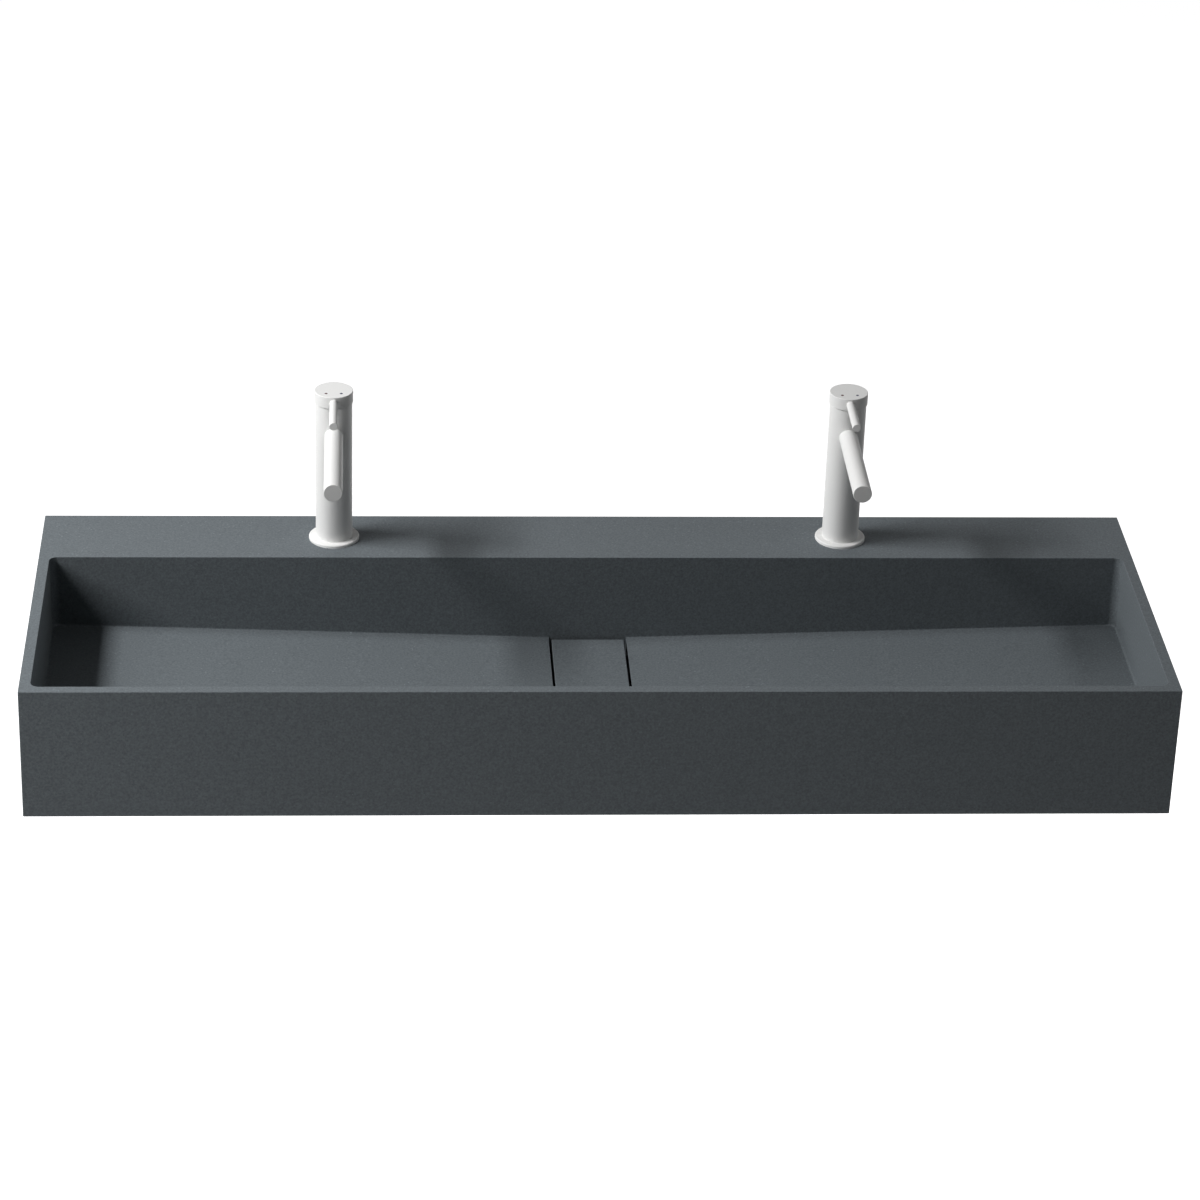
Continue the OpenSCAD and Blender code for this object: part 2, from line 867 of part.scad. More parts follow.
basin_body();
drain_cover();
cover_feet();
waste_flange();
waste_strainer();
waste_top_gasket();
waste_bottom_gasket();
waste_nut();
bracket(-1);  // left_bracket
bracket(1);  // right_bracket
support_blocks();
block_inserts();
bracket_bolts();
bracket_washers();
tap_studs();
stud_nuts();
shoe_gaskets();
shoe_washers();
for (i = [0, 1]) {
    prefix = str(SIDES[i], "_");
    side = 2 * i - 1;
    at_tap(side) tap_body();
    at_tap(side) base_flange();
    at_tap(side) base_gasket();
    at_tap(side) spout();
    at_tap(side) aerator_housing();
    at_tap(side) aerator_insert();
    at_tap(side) cartridge_housing();
    at_tap(side) cartridge_seals();
    at_tap(side) fixed_disc();
    at_tap(side) moving_disc();
    at_tap(side) disc_coupler();
    at_tap(side) swivel_carrier();
    at_tap(side) stem_pin();
    at_tap(side) stem();
    at_tap(side) cartridge_nut();
    at_tap(side) handle_head();
    at_tap(side) lever();
    at_tap(side) grub_screw();
    at_tap(side) hot_mark();
    at_tap(side) cold_mark();
}
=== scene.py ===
import json
import math
import bpy
import bmesh
from mathutils import Matrix, Vector


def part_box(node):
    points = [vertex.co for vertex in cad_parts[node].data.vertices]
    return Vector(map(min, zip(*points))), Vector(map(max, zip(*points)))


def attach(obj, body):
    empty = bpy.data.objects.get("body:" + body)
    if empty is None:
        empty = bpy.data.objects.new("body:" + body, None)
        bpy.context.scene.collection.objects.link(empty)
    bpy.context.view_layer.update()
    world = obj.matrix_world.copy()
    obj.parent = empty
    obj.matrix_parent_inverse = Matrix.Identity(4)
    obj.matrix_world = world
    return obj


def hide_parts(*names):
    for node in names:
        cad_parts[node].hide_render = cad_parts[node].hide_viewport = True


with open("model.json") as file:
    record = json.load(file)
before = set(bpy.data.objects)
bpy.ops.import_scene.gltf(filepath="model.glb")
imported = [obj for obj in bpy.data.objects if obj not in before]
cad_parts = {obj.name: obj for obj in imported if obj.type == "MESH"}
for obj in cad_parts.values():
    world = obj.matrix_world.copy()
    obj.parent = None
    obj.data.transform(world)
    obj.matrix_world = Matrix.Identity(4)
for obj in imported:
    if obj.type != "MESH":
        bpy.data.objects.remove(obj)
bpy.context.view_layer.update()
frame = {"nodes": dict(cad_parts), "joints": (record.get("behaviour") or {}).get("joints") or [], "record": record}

mm = 0.001
nodes = frame["nodes"]
sides = {"left": -1, "right": 1}
bodyOf = {name: body for body, names in frame["record"]["behaviour"]["bodies"].items() for name in names}


def inMillimetres(place):
    return [value / mm for value in place]


turnAxis = {joint["name"]: inMillimetres(joint["pos_m"]) for joint in frame["joints"] if "pos_m" in joint}
mixerAxis = {side: turnAxis[side + "_turn"] for side in sides}
wasteTail = next(mount for mount in frame["record"]["mounts"] if mount["name"] == "waste_tail")
print("frame loaded:", len(nodes), "nodes")


# Camera, fitted to the edges of the basin and the tops of the mixers

cameraPlan = {
    "place": (-0.2550, -3.9200, 2.0516),
    "turn": (62.633, -1.6025, -2.9576),  # degrees
    "sensor": 36.0,
    "lens": 118.045,
    "shift": (0.010, -0.0333),
    "farEnd": 60.0,
}


def placeCamera(plan):
    data = bpy.data.cameras.new("photoCamera")
    data.sensor_width = plan["sensor"]
    data.lens = plan["lens"]
    data.shift_x, data.shift_y = plan["shift"]
    data.clip_end = plan["farEnd"]
    camera = bpy.data.objects.new("photoCamera", data)
    camera.location = plan["place"]
    camera.rotation_euler = [math.radians(angle) for angle in plan["turn"]]
    bpy.context.scene.collection.objects.link(camera)
    bpy.context.scene.camera = camera


placeCamera(cameraPlan)
bpy.context.scene.view_settings.view_transform = "Standard"
print("camera placed")


# Node helpers, for shader groups and geometry trees alike

def newTree(kind, name, inputs, outputs):
    tree = bpy.data.node_groups.new(name, kind)
    for label, sort, value in inputs:
        socket = tree.interface.new_socket(name=label, in_out="INPUT", socket_type="NodeSocket" + sort)
        if value is not None:
            socket.default_value = value
    for label, sort in outputs:
        tree.interface.new_socket(name=label, in_out="OUTPUT", socket_type="NodeSocket" + sort)
    return tree, tree.nodes.new("NodeGroupInput").outputs, tree.nodes.new("NodeGroupOutput").inputs


def setInput(tree, socket, value):
    if isinstance(value, bpy.types.NodeSocket):
        tree.links.new(value, socket)
    elif value is not None:
        socket.default_value = value


def setNamed(tree, node, values):
    for label, value in values.items():
        setInput(tree, node.inputs[label.replace("_", " ")], value)


def math2(tree, operation, a, b=None, c=None, clamp=False):
    node = tree.nodes.new("ShaderNodeMath")
    node.operation = operation
    node.use_clamp = clamp
    for socket, value in zip(node.inputs, (a, b, c)):
        setInput(tree, socket, value)
    return node.outputs[0]


def vector2(tree, operation, a, b=None, scale=None):
    node = tree.nodes.new("ShaderNodeVectorMath")
    node.operation = operation
    setInput(tree, node.inputs[0], a)
    setInput(tree, node.inputs[1], b)
    if scale is not None:
        setInput(tree, node.inputs["Scale"], scale)
    return node.outputs["Vector"]


def noise2(tree, vector, scale, detail=2.0, roughness=0.5):
    node = tree.nodes.new("ShaderNodeTexNoise")
    setInput(tree, node.inputs["Vector"], vector)
    setInput(tree, node.inputs["Scale"], scale)
    node.inputs["Detail"].default_value = detail
    node.inputs["Roughness"].default_value = roughness
    return node.outputs[0]


def shaded(tree, color, off, contrast):
    # a positive off makes the colour lighter and a negative one darker
    return vector2(tree, "SCALE", color, scale=math2(tree, "MULTIPLY_ADD", off, contrast, 1.0))


# Shader groups that the finishes are put together from

def buildGrainGroup():
    tree, at, result = newTree("ShaderNodeTree", "fineGrain", [
        ("Vector", "Vector", None), ("Tone", "Color", (0.5, 0.5, 0.5, 1)),
        ("Grain Size", "Float", 0.001), ("Grain Contrast", "Float", 0.05),
        ("Cloud Size", "Float", 0.1), ("Cloud Contrast", "Float", 0.05),
        ("Roughness", "Float", 0.5), ("Spread", "Float", 0.1),
    ], [("Color", "Color"), ("Roughness", "Float"), ("Height", "Float")])
    grain = noise2(tree, at["Vector"], math2(tree, "DIVIDE", 1.0, at["Grain Size"]), 2, 0.6)
    cloud = noise2(tree, at["Vector"], math2(tree, "DIVIDE", 1.0, at["Cloud Size"]), 3, 0.5)
    grainOff = math2(tree, "SUBTRACT", grain, 0.5)
    cloudOff = math2(tree, "SUBTRACT", cloud, 0.5)
    lift = math2(tree, "MULTIPLY_ADD", grainOff, math2(tree, "MULTIPLY", at["Grain Contrast"], 2.0), 1.0)
    lift = math2(tree, "MULTIPLY_ADD", cloudOff, math2(tree, "MULTIPLY", at["Cloud Contrast"], 2.0), lift)
    uneven = math2(tree, "ADD", grainOff, cloudOff)
    mixed = math2(tree, "MULTIPLY_ADD", uneven, at["Spread"], at["Roughness"], clamp=True)
    setInput(tree, result["Color"], vector2(tree, "SCALE", at["Tone"], scale=lift))
    setInput(tree, result["Roughness"], mixed)
    setInput(tree, result["Height"], grain)
    return tree


def buildFleckGroup():
    tree, at, result = newTree("ShaderNodeTree", "mineralFlecks", [
        ("Vector", "Vector", None), ("Color", "Color", (0.5, 0.5, 0.5, 1)),
        ("Size", "Float", 0.002), ("Share", "Float", 0.08), ("Strength", "Float", 0.3),
    ], [("Color", "Color")])
    cells = tree.nodes.new("ShaderNodeTexVoronoi")
    setNamed(tree, cells, {"Vector": at["Vector"], "Scale": math2(tree, "DIVIDE", 1.0, at["Size"])})
    parts = tree.nodes.new("ShaderNodeSeparateColor")
    setInput(tree, parts.inputs[0], cells.outputs["Color"])
    chosen = math2(tree, "LESS_THAN", parts.outputs[0], at["Share"])
    reach = math2(tree, "MULTIPLY", parts.outputs[1], 0.45)  # the largest nearly fill a cell
    speck = math2(tree, "LESS_THAN", cells.outputs["Distance"], reach)
    signed = math2(tree, "MULTIPLY_ADD", parts.outputs[2], 1.6, -0.6)  # more pale flecks than dark ones
    off = math2(tree, "MULTIPLY", math2(tree, "MULTIPLY", chosen, speck), signed)
    setInput(tree, result["Color"], shaded(tree, at["Color"], off, at["Strength"]))
    return tree


def buildLineGroup():
    tree, at, result = newTree("ShaderNodeTree", "toolLines", [
        ("Vector", "Vector", None), ("Stretch", "Vector", (1, 1, 1)), ("Scale", "Float", 400.0),
        ("Color", "Color", (0.5, 0.5, 0.5, 1)), ("Contrast", "Float", 0.1),
    ], [("Color", "Color"), ("Height", "Float")])
    lines = noise2(tree, vector2(tree, "MULTIPLY", at["Vector"], at["Stretch"]), at["Scale"], 2, 0.7)
    off = math2(tree, "SUBTRACT", lines, 0.5)
    setInput(tree, result["Color"], shaded(tree, at["Color"], off, at["Contrast"]))
    setInput(tree, result["Height"], lines)
    return tree


# edges made smoother by wear and lighter by wear plus a painted highlight on the bevels
def buildEdgeWearAndSheenGroup():
    tree, at, result = newTree("ShaderNodeTree", "rubbedEdges", [
        ("Color", "Color", (0.5, 0.5, 0.5, 1)), ("Roughness", "Float", 0.5), ("Mask", "Float", 0.0),
        ("Vector", "Vector", None), ("Lighten", "Float", 0.1), ("Polish", "Float", 0.2),
    ], [("Color", "Color"), ("Roughness", "Float")])
    patchy = math2(tree, "MULTIPLY_ADD", noise2(tree, at["Vector"], 60.0, 3), 0.8, 0.6)  # about 1
    amount = math2(tree, "MULTIPLY", at["Mask"], patchy)
    kept = math2(tree, "SUBTRACT", 1.0, math2(tree, "MULTIPLY", amount, at["Polish"]))
    # the lighter edge colour is partly wear and partly a painted highlight
    setInput(tree, result["Color"], shaded(tree, at["Color"], amount, at["Lighten"]))
    setInput(tree, result["Roughness"], math2(tree, "MULTIPLY", at["Roughness"], kept))
    return tree


grainGroup = buildGrainGroup()
fleckGroup = buildFleckGroup()
lineGroup = buildLineGroup()
edgeWearAndSheenGroup = buildEdgeWearAndSheenGroup()


# Finishes, one dictionary each. Tones are linear colours and sizes are metres.
# grain, cloud: size and contrast. roughness: middle and spread. wearAndSheen: how much lighter and
# smoother the edges are; the smoothing is wear, the lightening is partly wear and partly a painted highlight.
# lines: stretch, scale and contrast. flecks: size, share and strength.
# raw: roughness where nobody looks, then the stretch, scale and contrast of its scratches.

finishPlan = {
    "solid_surface": {
        "tone": (0.129, 0.146, 0.157), "grain": (0.0021, 0.44), "cloud": (0.16, 0.04),
        "roughness": (0.58, 0.10), "wearAndSheen": (0.06, 0.25), "bump": 0.08, "specular": 0.10,
        "flecks": (0.0024, 0.22, 0.40), "raw": (0.75, (1, 0.06, 1), 900.0, 0.5),
    },
    "matte_white": {
        "tone": (0.80, 0.80, 0.79), "grain": (0.0011, 0.015), "cloud": (0.05, 0.012),
        "roughness": (0.55, 0.08), "wearAndSheen": (0.03, 0.25), "bump": 0.03, "specular": 0.22,
    },
    "rubber": {
        "tone": (0.022, 0.022, 0.023), "grain": (0.0006, 0.25), "cloud": (0.012, 0.12),
        "roughness": (0.72, 0.18), "wearAndSheen": (0.5, 0.1), "bump": 0.10, "specular": 0.4,
    },
    "waste_steel": {
        "tone": (0.50, 0.50, 0.49), "grain": (0.0012, 0.05), "cloud": (0.02, 0.05),
        "roughness": (0.28, 0.12), "wearAndSheen": (0.10, 0.4), "bump": 0.03, "metallic": True,
        "lines": ((1, 1, 6), 380, 0.10),
    },
    "bracket_steel": {
        "tone": (0.058, 0.058, 0.062), "grain": (0.0010, 0.24), "cloud": (0.03, 0.10),
        "roughness": (0.52, 0.16), "wearAndSheen": (0.30, 0.20), "bump": 0.24, "specular": 0.26,
    },
    "bolt_steel": {
        "tone": (0.42, 0.43, 0.45), "grain": (0.0008, 0.10), "cloud": (0.008, 0.12),
        "roughness": (0.34, 0.22), "wearAndSheen": (0.12, 0.3), "bump": 0.05, "metallic": True,
        "lines": ((1, 1, 5), 700, 0.10),
    },
    "brass": {
        "tone": (0.62, 0.43, 0.17), "grain": (0.0007, 0.06), "cloud": (0.012, 0.14),
        "roughness": (0.33, 0.20), "wearAndSheen": (0.12, 0.35), "bump": 0.04, "metallic": True,
        "lines": ((1, 1, 7), 600, 0.12),
    },
    "aerator_metal": {
        "tone": (0.72, 0.72, 0.73), "grain": (0.0006, 0.03), "cloud": (0.006, 0.04),
        "roughness": (0.17, 0.10), "wearAndSheen": (0.05, 0.4), "bump": 0.02, "metallic": True,
        "lines": ((1, 1, 5), 900, 0.06),
    },
    "inner_plastic": {
        "tone": (0.56, 0.57, 0.56), "grain": (0.0005, 0.05), "cloud": (0.01, 0.04),
        "roughness": (0.42, 0.12), "wearAndSheen": (0.08, 0.2), "bump": 0.05, "specular": 0.5,
    },
    "disc_ceramic": {
        "tone": (0.70, 0.68, 0.63), "grain": (0.0004, 0.05), "cloud": (0.006, 0.03),
        "roughness": (0.22, 0.08), "wearAndSheen": (0.05, 0.3), "bump": 0.02, "specular": 0.55,
    },
    "hot_enamel": {
        "tone": (0.060, 0.006, 0.005), "grain": (0.0004, 0.10), "cloud": (0.002, 0.10),
        "roughness": (0.40, 0.10), "wearAndSheen": (0.1, 0.2), "bump": 0.03, "specular": 0.15,
    },
    "cold_enamel": {
        "tone": (0.005, 0.009, 0.050), "grain": (0.0004, 0.10), "cloud": (0.002, 0.10),
        "roughness": (0.40, 0.10), "wearAndSheen": (0.1, 0.2), "bump": 0.03, "specular": 0.15,
    },
}
bumpHeight = 0.4 * mm


def useGroup(tree, group, **values):
    node = tree.nodes.new("ShaderNodeGroup")
    node.node_tree = group
    setNamed(tree, node, values)
    return node.outputs


def attributeValue(tree, name):
    node = tree.nodes.new("ShaderNodeAttribute")
    node.attribute_name = name
    return node.outputs["Fac"]


def buildFinish(name, plan):
    material = bpy.data.materials.new(name + "_finish")
    material.use_nodes = True
    tree = material.node_tree
    shader = tree.nodes["Principled BSDF"]
    place = tree.nodes.new("ShaderNodeTexCoord").outputs["Object"]
    middle, spread = plan["roughness"]
    lighten, polish = plan["wearAndSheen"]
    grain = useGroup(tree, grainGroup, Vector=place, Tone=plan["tone"] + (1,),
                     Grain_Size=plan["grain"][0], Grain_Contrast=plan["grain"][1],
                     Cloud_Size=plan["cloud"][0], Cloud_Contrast=plan["cloud"][1],
                     Roughness=middle, Spread=spread)
    color, roughness, height = grain["Color"], grain["Roughness"], grain["Height"]
    if "flecks" in plan:
        size, share, strength = plan["flecks"]
        flecks = useGroup(tree, fleckGroup, Vector=place, Color=color, Size=size, Share=share,
                          Strength=strength)
        color = flecks["Color"]
    if "lines" in plan:
        stretch, scale, contrast = plan["lines"]
        lines = useGroup(tree, lineGroup, Vector=place, Color=color, Stretch=stretch, Scale=scale,
                         Contrast=contrast)
        color = lines["Color"]
        grainPart = math2(tree, "MULTIPLY", height, 0.4)
        height = math2(tree, "MULTIPLY_ADD", lines["Height"], 0.6, grainPart)
    if "raw" in plan:  # the back and underside are left as they were sanded
        rawMiddle, stretch, scale, contrast = plan["raw"]
        raw = attributeValue(tree, "rawSide")
        scratches = useGroup(tree, lineGroup, Vector=place, Color=color, Stretch=stretch, Scale=scale,
                             Contrast=contrast)
        blend = tree.nodes.new("ShaderNodeMix")
        blend.data_type = "RGBA"
        for socket, value in ((0, raw), (6, color), (7, scratches["Color"])):
            setInput(tree, blend.inputs[socket], value)
        color = blend.outputs[2]
        roughness = math2(tree, "MULTIPLY_ADD", raw, rawMiddle - middle, roughness)
    # bevel faces get lighter, partly as wear and partly as a painted highlight, and smoother from wear
    wearAndSheen = useGroup(tree, edgeWearAndSheenGroup, Color=color, Roughness=roughness, Vector=place,
                      Mask=attributeValue(tree, "softEdge"), Lighten=lighten, Polish=polish)
    bump = tree.nodes.new("ShaderNodeBump")
    setNamed(tree, bump, {"Strength": plan["bump"], "Distance": bumpHeight, "Height": height})
    setInput(tree, shader.inputs["Base Color"], wearAndSheen["Color"])
    setInput(tree, shader.inputs["Roughness"], wearAndSheen["Roughness"])
    setInput(tree, shader.inputs["Normal"], bump.outputs["Normal"])
    shader.inputs["Metallic"].default_value = 1.0 if plan.get("metallic") else 0.0
    shader.inputs["Specular IOR Level"].default_value = plan.get("specular", 0.5)
    return material


finishes = {name: buildFinish(name, plan) for name, plan in finishPlan.items()}
slotOf = {name: nodes[name].data.materials[0].name.split(".")[0] for name in nodes}
for name, obj in nodes.items():
    obj.material_slots[0].material = finishes[slotOf[name]]
print("finishes built:", len(finishes))


# Mesh helpers

meshRule = {
    "joinDistance": 1e-6,
    "flatAngle": 0.5,  # degrees, faces that turn less are one face
    "sharpAngle": 28,  # a lesser turn is a facet of a round face and isn't rounded
    "flush": 0.1,  # millimetres, what lies closer is on the face
}


def linked(name, mesh):
    obj = bpy.data.objects.new(name, mesh)
    bpy.context.scene.collection.objects.link(obj)
    return obj


def applied(obj):
    graph = bpy.context.evaluated_depsgraph_get()
    mesh = bpy.data.meshes.new_from_object(obj.evaluated_get(graph))
    old = obj.data
    obj.modifiers.clear()
    obj.data = mesh
    mesh.name = obj.name
    if old.users == 0:
        bpy.data.meshes.remove(old)
    return obj


def meshFrom(name, bm):
    mesh = bpy.data.meshes.new(name)
    bm.to_mesh(mesh)
    bm.free()
    return linked(name, mesh)


def edited(obj, change):
    bm = bmesh.new()
    bm.from_mesh(obj.data)
    change(bm)
    bm.to_mesh(obj.data)
    bm.free()
    return obj


def mergedCopy(node, name):
    bm = bmesh.new()
    bm.from_mesh(nodes[node].data)
    bmesh.ops.remove_doubles(bm, verts=bm.verts, dist=meshRule["joinDistance"])
    flat = math.radians(meshRule["flatAngle"])
    bmesh.ops.dissolve_limit(bm, angle_limit=flat, verts=bm.verts, edges=bm.edges)
    obj = meshFrom(name, bm)
    for layer in ("custom_normal", "sharp_face"):
        if layer in obj.data.attributes:
            obj.data.attributes.remove(obj.data.attributes[layer])
    return obj


def edgeWidth(edge, widthAt):
    if len(edge.link_faces) != 2:
        return 0
    angle = math.degrees(edge.calc_face_angle_signed(0))
    if abs(angle) <= meshRule["sharpAngle"]:
        return 0
    return widthAt((edge.verts[0].co + edge.verts[1].co) / (2 * mm), angle)


def softenEdges(obj, widthAt, segments=3):
    bm = bmesh.new()
    bm.from_mesh(obj.data)
    layer = bm.edges.layers.float.new("bevel_weight_edge")
    widths = [edgeWidth(edge, widthAt) for edge in bm.edges]
    widest = max(widths)
    for edge, width in zip(bm.edges, widths):
        edge[layer] = width / widest if widest else 0
    bm.to_mesh(obj.data)
    bm.free()
    if widest:
        # the second slot only marks the new faces, for markEdges
        obj.data.materials.clear()
        obj.data.materials.append(None)
        obj.data.materials.append(None)
        for face in obj.data.polygons:
            face.material_index = 0
        bevel = obj.modifiers.new("edgeBevel", "BEVEL")
        bevel.limit_method = "WEIGHT"
        bevel.width = widest * mm
        bevel.segments = segments
        bevel.use_clamp_overlap = False
        bevel.material = 1
        applied(obj)
    return obj


def markEdges(obj):
    mesh = obj.data
    inner = [1.0] * len(mesh.vertices)
    for face in mesh.polygons:
        if face.material_index != 1:
            for v in face.vertices:
                inner[v] = 0.0
        face.material_index = 0
    mesh.attributes.new("softEdge", "FLOAT", "POINT").data.foreach_set("value", inner)
    return obj


def smoothed(obj, sharpFrom=46):
    def shade(bm):
        for face in bm.faces:
            face.smooth = True
        for edge in bm.edges:
            edge.smooth = len(edge.link_faces) == 2 and edge.calc_face_angle(0) < math.radians(sharpFrom)

    weighted = edited(obj, shade).modifiers.new("evenNormals", "WEIGHTED_NORMAL")
    weighted.keep_sharp = True
    return applied(obj)


def settle(obj, body, slot, replaced=()):
    obj.data.materials.clear()
    obj.data.materials.append(finishes[slot])
    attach(obj, body)
    if replaced:
        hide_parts(*replaced)
    return obj


def dress(node, name, widthAt, segments=3):
    obj = softenEdges(mergedCopy(node, name), widthAt, segments)
    smoothed(markEdges(obj))
    return settle(obj, bodyOf[node], slotOf[node], (node,))


def convex(width, where=lambda at: True):
    # a rule that rounds only the outward edges, at the places that the test picks
    return lambda at, angle: width if angle > 0 and where(at) else 0


# Basin and its cover. Places are millimetres in the part's frame.

basinLow, basinHigh = [Vector(inMillimetres(corner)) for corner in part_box("basin_body")]
coverHigh = Vector(inMillimetres(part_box("drain_cover")[1]))
bracketHigh = Vector(inMillimetres(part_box("right_bracket")[1]))

basinShape = {
    "endX": basinHigh.x,
    "frontY": basinLow.y,
    "topZ": basinHigh.z,
    "bottomZ": basinLow.z,
    "slab": 12.0,
    "deckY": -100.0,
    "floorZ": coverHigh.z,  # where it meets the cover
    "sumpZ": -49.0,
    "seatZ": -53.5,
    "slotX": coverHigh.x + 3.0,
    "tapClear": 20.0,
    "bracketX": bracketHigh.x + 10.0,  # past the notch of the bracket
    "near": 0.5,
}

basinLook = {
    "outerEdge": 1.0,
    "rimEdge": 0.6,
    "floorFillet": 1.1,
    "endFillet": 2.4,
    "endReach": 25.0,
    "slotEdge": 0.2,
    "channelFillet": 0.6,
    "undersideEdge": 0.6,
    "undersideFillet": 1.5,
    "coverEdge": 0.2,
    "padEdge": 0.8,
}


def isInBowl(x, y, z):
    shape, near = basinShape, basinShape["near"]
    insideX, insideY = shape["endX"] - shape["slab"], shape["frontY"] + shape["slab"]
    return x < insideX + near and insideY - near < y < shape["deckY"] + near and z < shape["topZ"] - near


def bowlFillet(x, z):
    shape = basinShape
    if z >= shape["floorZ"] - 1 and x >= shape["slotX"] + shape["near"]:
        atEnd = x > shape["endX"] - basinLook["endReach"]
        return basinLook["endFillet" if atEnd else "floorFillet"]
    return basinLook["channelFillet"]


def basinEdge(at, angle):
    shape, near, flush = basinShape, basinShape["near"], meshRule["flush"]
    x, y, z = abs(at.x), at.y, at.z
    tapX, tapY = mixerAxis["right"][:2]
    if math.hypot(x - tapX, y - tapY) < shape["tapClear"]:
        return 0
    inBowl = isInBowl(x, y, z)
    if angle < 0:
        if inBowl and z > shape["seatZ"] - near:
            return bowlFillet(x, z)
        return basinLook["undersideFillet"] if z < shape["topZ"] - shape["slab"] + 1 else 0
    if z > shape["topZ"] - flush:
        return basinLook["rimEdge"]
    atBack = y > -flush and x > shape["bracketX"]
    if x > shape["endX"] - flush or y < shape["frontY"] + flush or atBack:
        return basinLook["outerEdge"]
    if inBowl and z > shape["sumpZ"] - 1:
        return basinLook["slotEdge"]
    return basinLook["undersideEdge"] if z < shape["bottomZ"] + flush else 0


def isRaw(face):
    # the underside, the back, and the walls of the hollows behind and below the bowl
    shape, near = basinShape, basinShape["near"]
    at, normal = face.center / mm, face.normal
    if (normal.z < -0.5 and at.z < shape["topZ"] - 1) or (normal.y > 0.5 and at.y > -near):
        return True
    wall = shape["slab"] - 2 * meshRule["flush"]
    hollow = abs(at.x) < shape["endX"] - wall and shape["frontY"] + wall < at.y < -wall
    underFloor = at.y > shape["deckY"] + 1 or at.z < shape["floorZ"] - 4
    inDrain = (at.y < shape["deckY"] + near and at.z > shape["seatZ"] + near
               and abs(at.x) < shape["slotX"] + 1)
    return hollow and underFloor and not inDrain and abs(normal.z) < 0.5


def dressBasin():
    trough = dress("basin_body", "troughShell", basinEdge)
    raw = [1.0 if isRaw(face) else 0.0 for face in trough.data.polygons]
    trough.data.attributes.new("rawSide", "FLOAT", "FACE").data.foreach_set("value", raw)
    dress("drain_cover", "coverPlate", convex(basinLook["coverEdge"]))
    dress("cover_feet", "coverPads", convex(basinLook["padEdge"]))


dressBasin()
print("basin and cover dressed")


# Geometry Nodes helpers

def newGeometryTree(name, inputs):
    inputs = inputs + [("Material", "Material", None)]
    return newTree("GeometryNodeTree", name, inputs, [("Geometry", "Geometry")])


def geometryNode(tree, kind, settings=None, **values):
    node = tree.nodes.new("GeometryNode" + kind)
    for key, value in (settings or {}).items():
        setattr(node, key, value)
    setNamed(tree, node, values)
    return node


def position(tree):
    split = tree.nodes.new("ShaderNodeSeparateXYZ")
    setInput(tree, split.inputs[0], geometryNode(tree, "InputPosition").outputs[0])
    return split.outputs


def movedTo(tree, geometry, *place):
    join = tree.nodes.new("ShaderNodeCombineXYZ")
    for socket, value in zip(join.inputs, place):
        setInput(tree, socket, value)
    return geometryNode(tree, "SetPosition", Geometry=geometry, Position=join.outputs[0]).outputs[0]


def finishTree(tree, geometry, at, result):
    real = geometryNode(tree, "RealizeInstances", Geometry=geometry)
    painted = geometryNode(tree, "SetMaterial", Geometry=real.outputs[0], Material=at["Material"])
    setInput(tree, result[0], painted.outputs[0])
    return tree


def grow(name, tree, mesh=None, **values):
    obj = linked(name, mesh or bpy.data.meshes.new(name))
    modifier = obj.modifiers.new(tree.name, "NODES")
    modifier.node_group = tree
    sockets = {item.name: item.identifier for item in tree.interface.items_tree if item.in_out == "INPUT"}
    for label, value in values.items():
        modifier[sockets[label.replace("_", " ")]] = value
    return applied(obj)


def buildThreadTree():
    # a cylinder whose surface sinks to the root of the thread and runs out at both ends
    tree, at, result = newGeometryTree("threadedRod", [
        ("Crest Radius", "Float", 0.004), ("Pitch", "Float", 0.00125), ("Depth", "Float", 0.0006),
        ("Bottom", "Float", 0.0), ("Length", "Float", 0.03), ("Lead", "Float", 0.001),
        ("Around", "Int", 48), ("Rows", "Int", 100), ("Capped", "Bool", True),
    ])
    rods = {}
    for label, fill in (("False", "NONE"), ("True", "NGON")):
        rod = geometryNode(tree, "MeshCylinder", {"fill_type": fill}, Vertices=at["Around"],
                           Side_Segments=at["Rows"], Radius=at["Crest Radius"], Depth=at["Length"])
        rods[label] = rod.outputs[0]
    pick = geometryNode(tree, "Switch", {"input_type": "GEOMETRY"}, Switch=at["Capped"], **rods)
    x, y, z = position(tree)
    half = math2(tree, "MULTIPLY", at["Length"], 0.5)
    turn = math2(tree, "DIVIDE", math2(tree, "ARCTAN2", y, x), 2 * math.pi)
    climb = math2(tree, "SUBTRACT", math2(tree, "DIVIDE", z, at["Pitch"]), turn)
    wave = math2(tree, "MULTIPLY", math2(tree, "PINGPONG", climb, 0.5), 2.0)
    groove = math2(tree, "MULTIPLY_ADD", wave, 1.5, -0.25, clamp=True)  # flats at crest and root
    fromEnd = math2(tree, "SUBTRACT", half, math2(tree, "ABSOLUTE", z))
    lead = math2(tree, "SUBTRACT", 1.0, math2(tree, "DIVIDE", fromEnd, at["Lead"]), clamp=True)
    inward = math2(tree, "MULTIPLY", math2(tree, "MAXIMUM", groove, lead), at["Depth"])
    shrink = math2(tree, "SUBTRACT", 1.0, math2(tree, "DIVIDE", inward, at["Crest Radius"]))
    raised = math2(tree, "ADD", z, math2(tree, "ADD", half, at["Bottom"]))
    rod = movedTo(tree, pick.outputs[0], math2(tree, "MULTIPLY", x, shrink),
                  math2(tree, "MULTIPLY", y, shrink), raised)
    return finishTree(tree, rod, at, result)


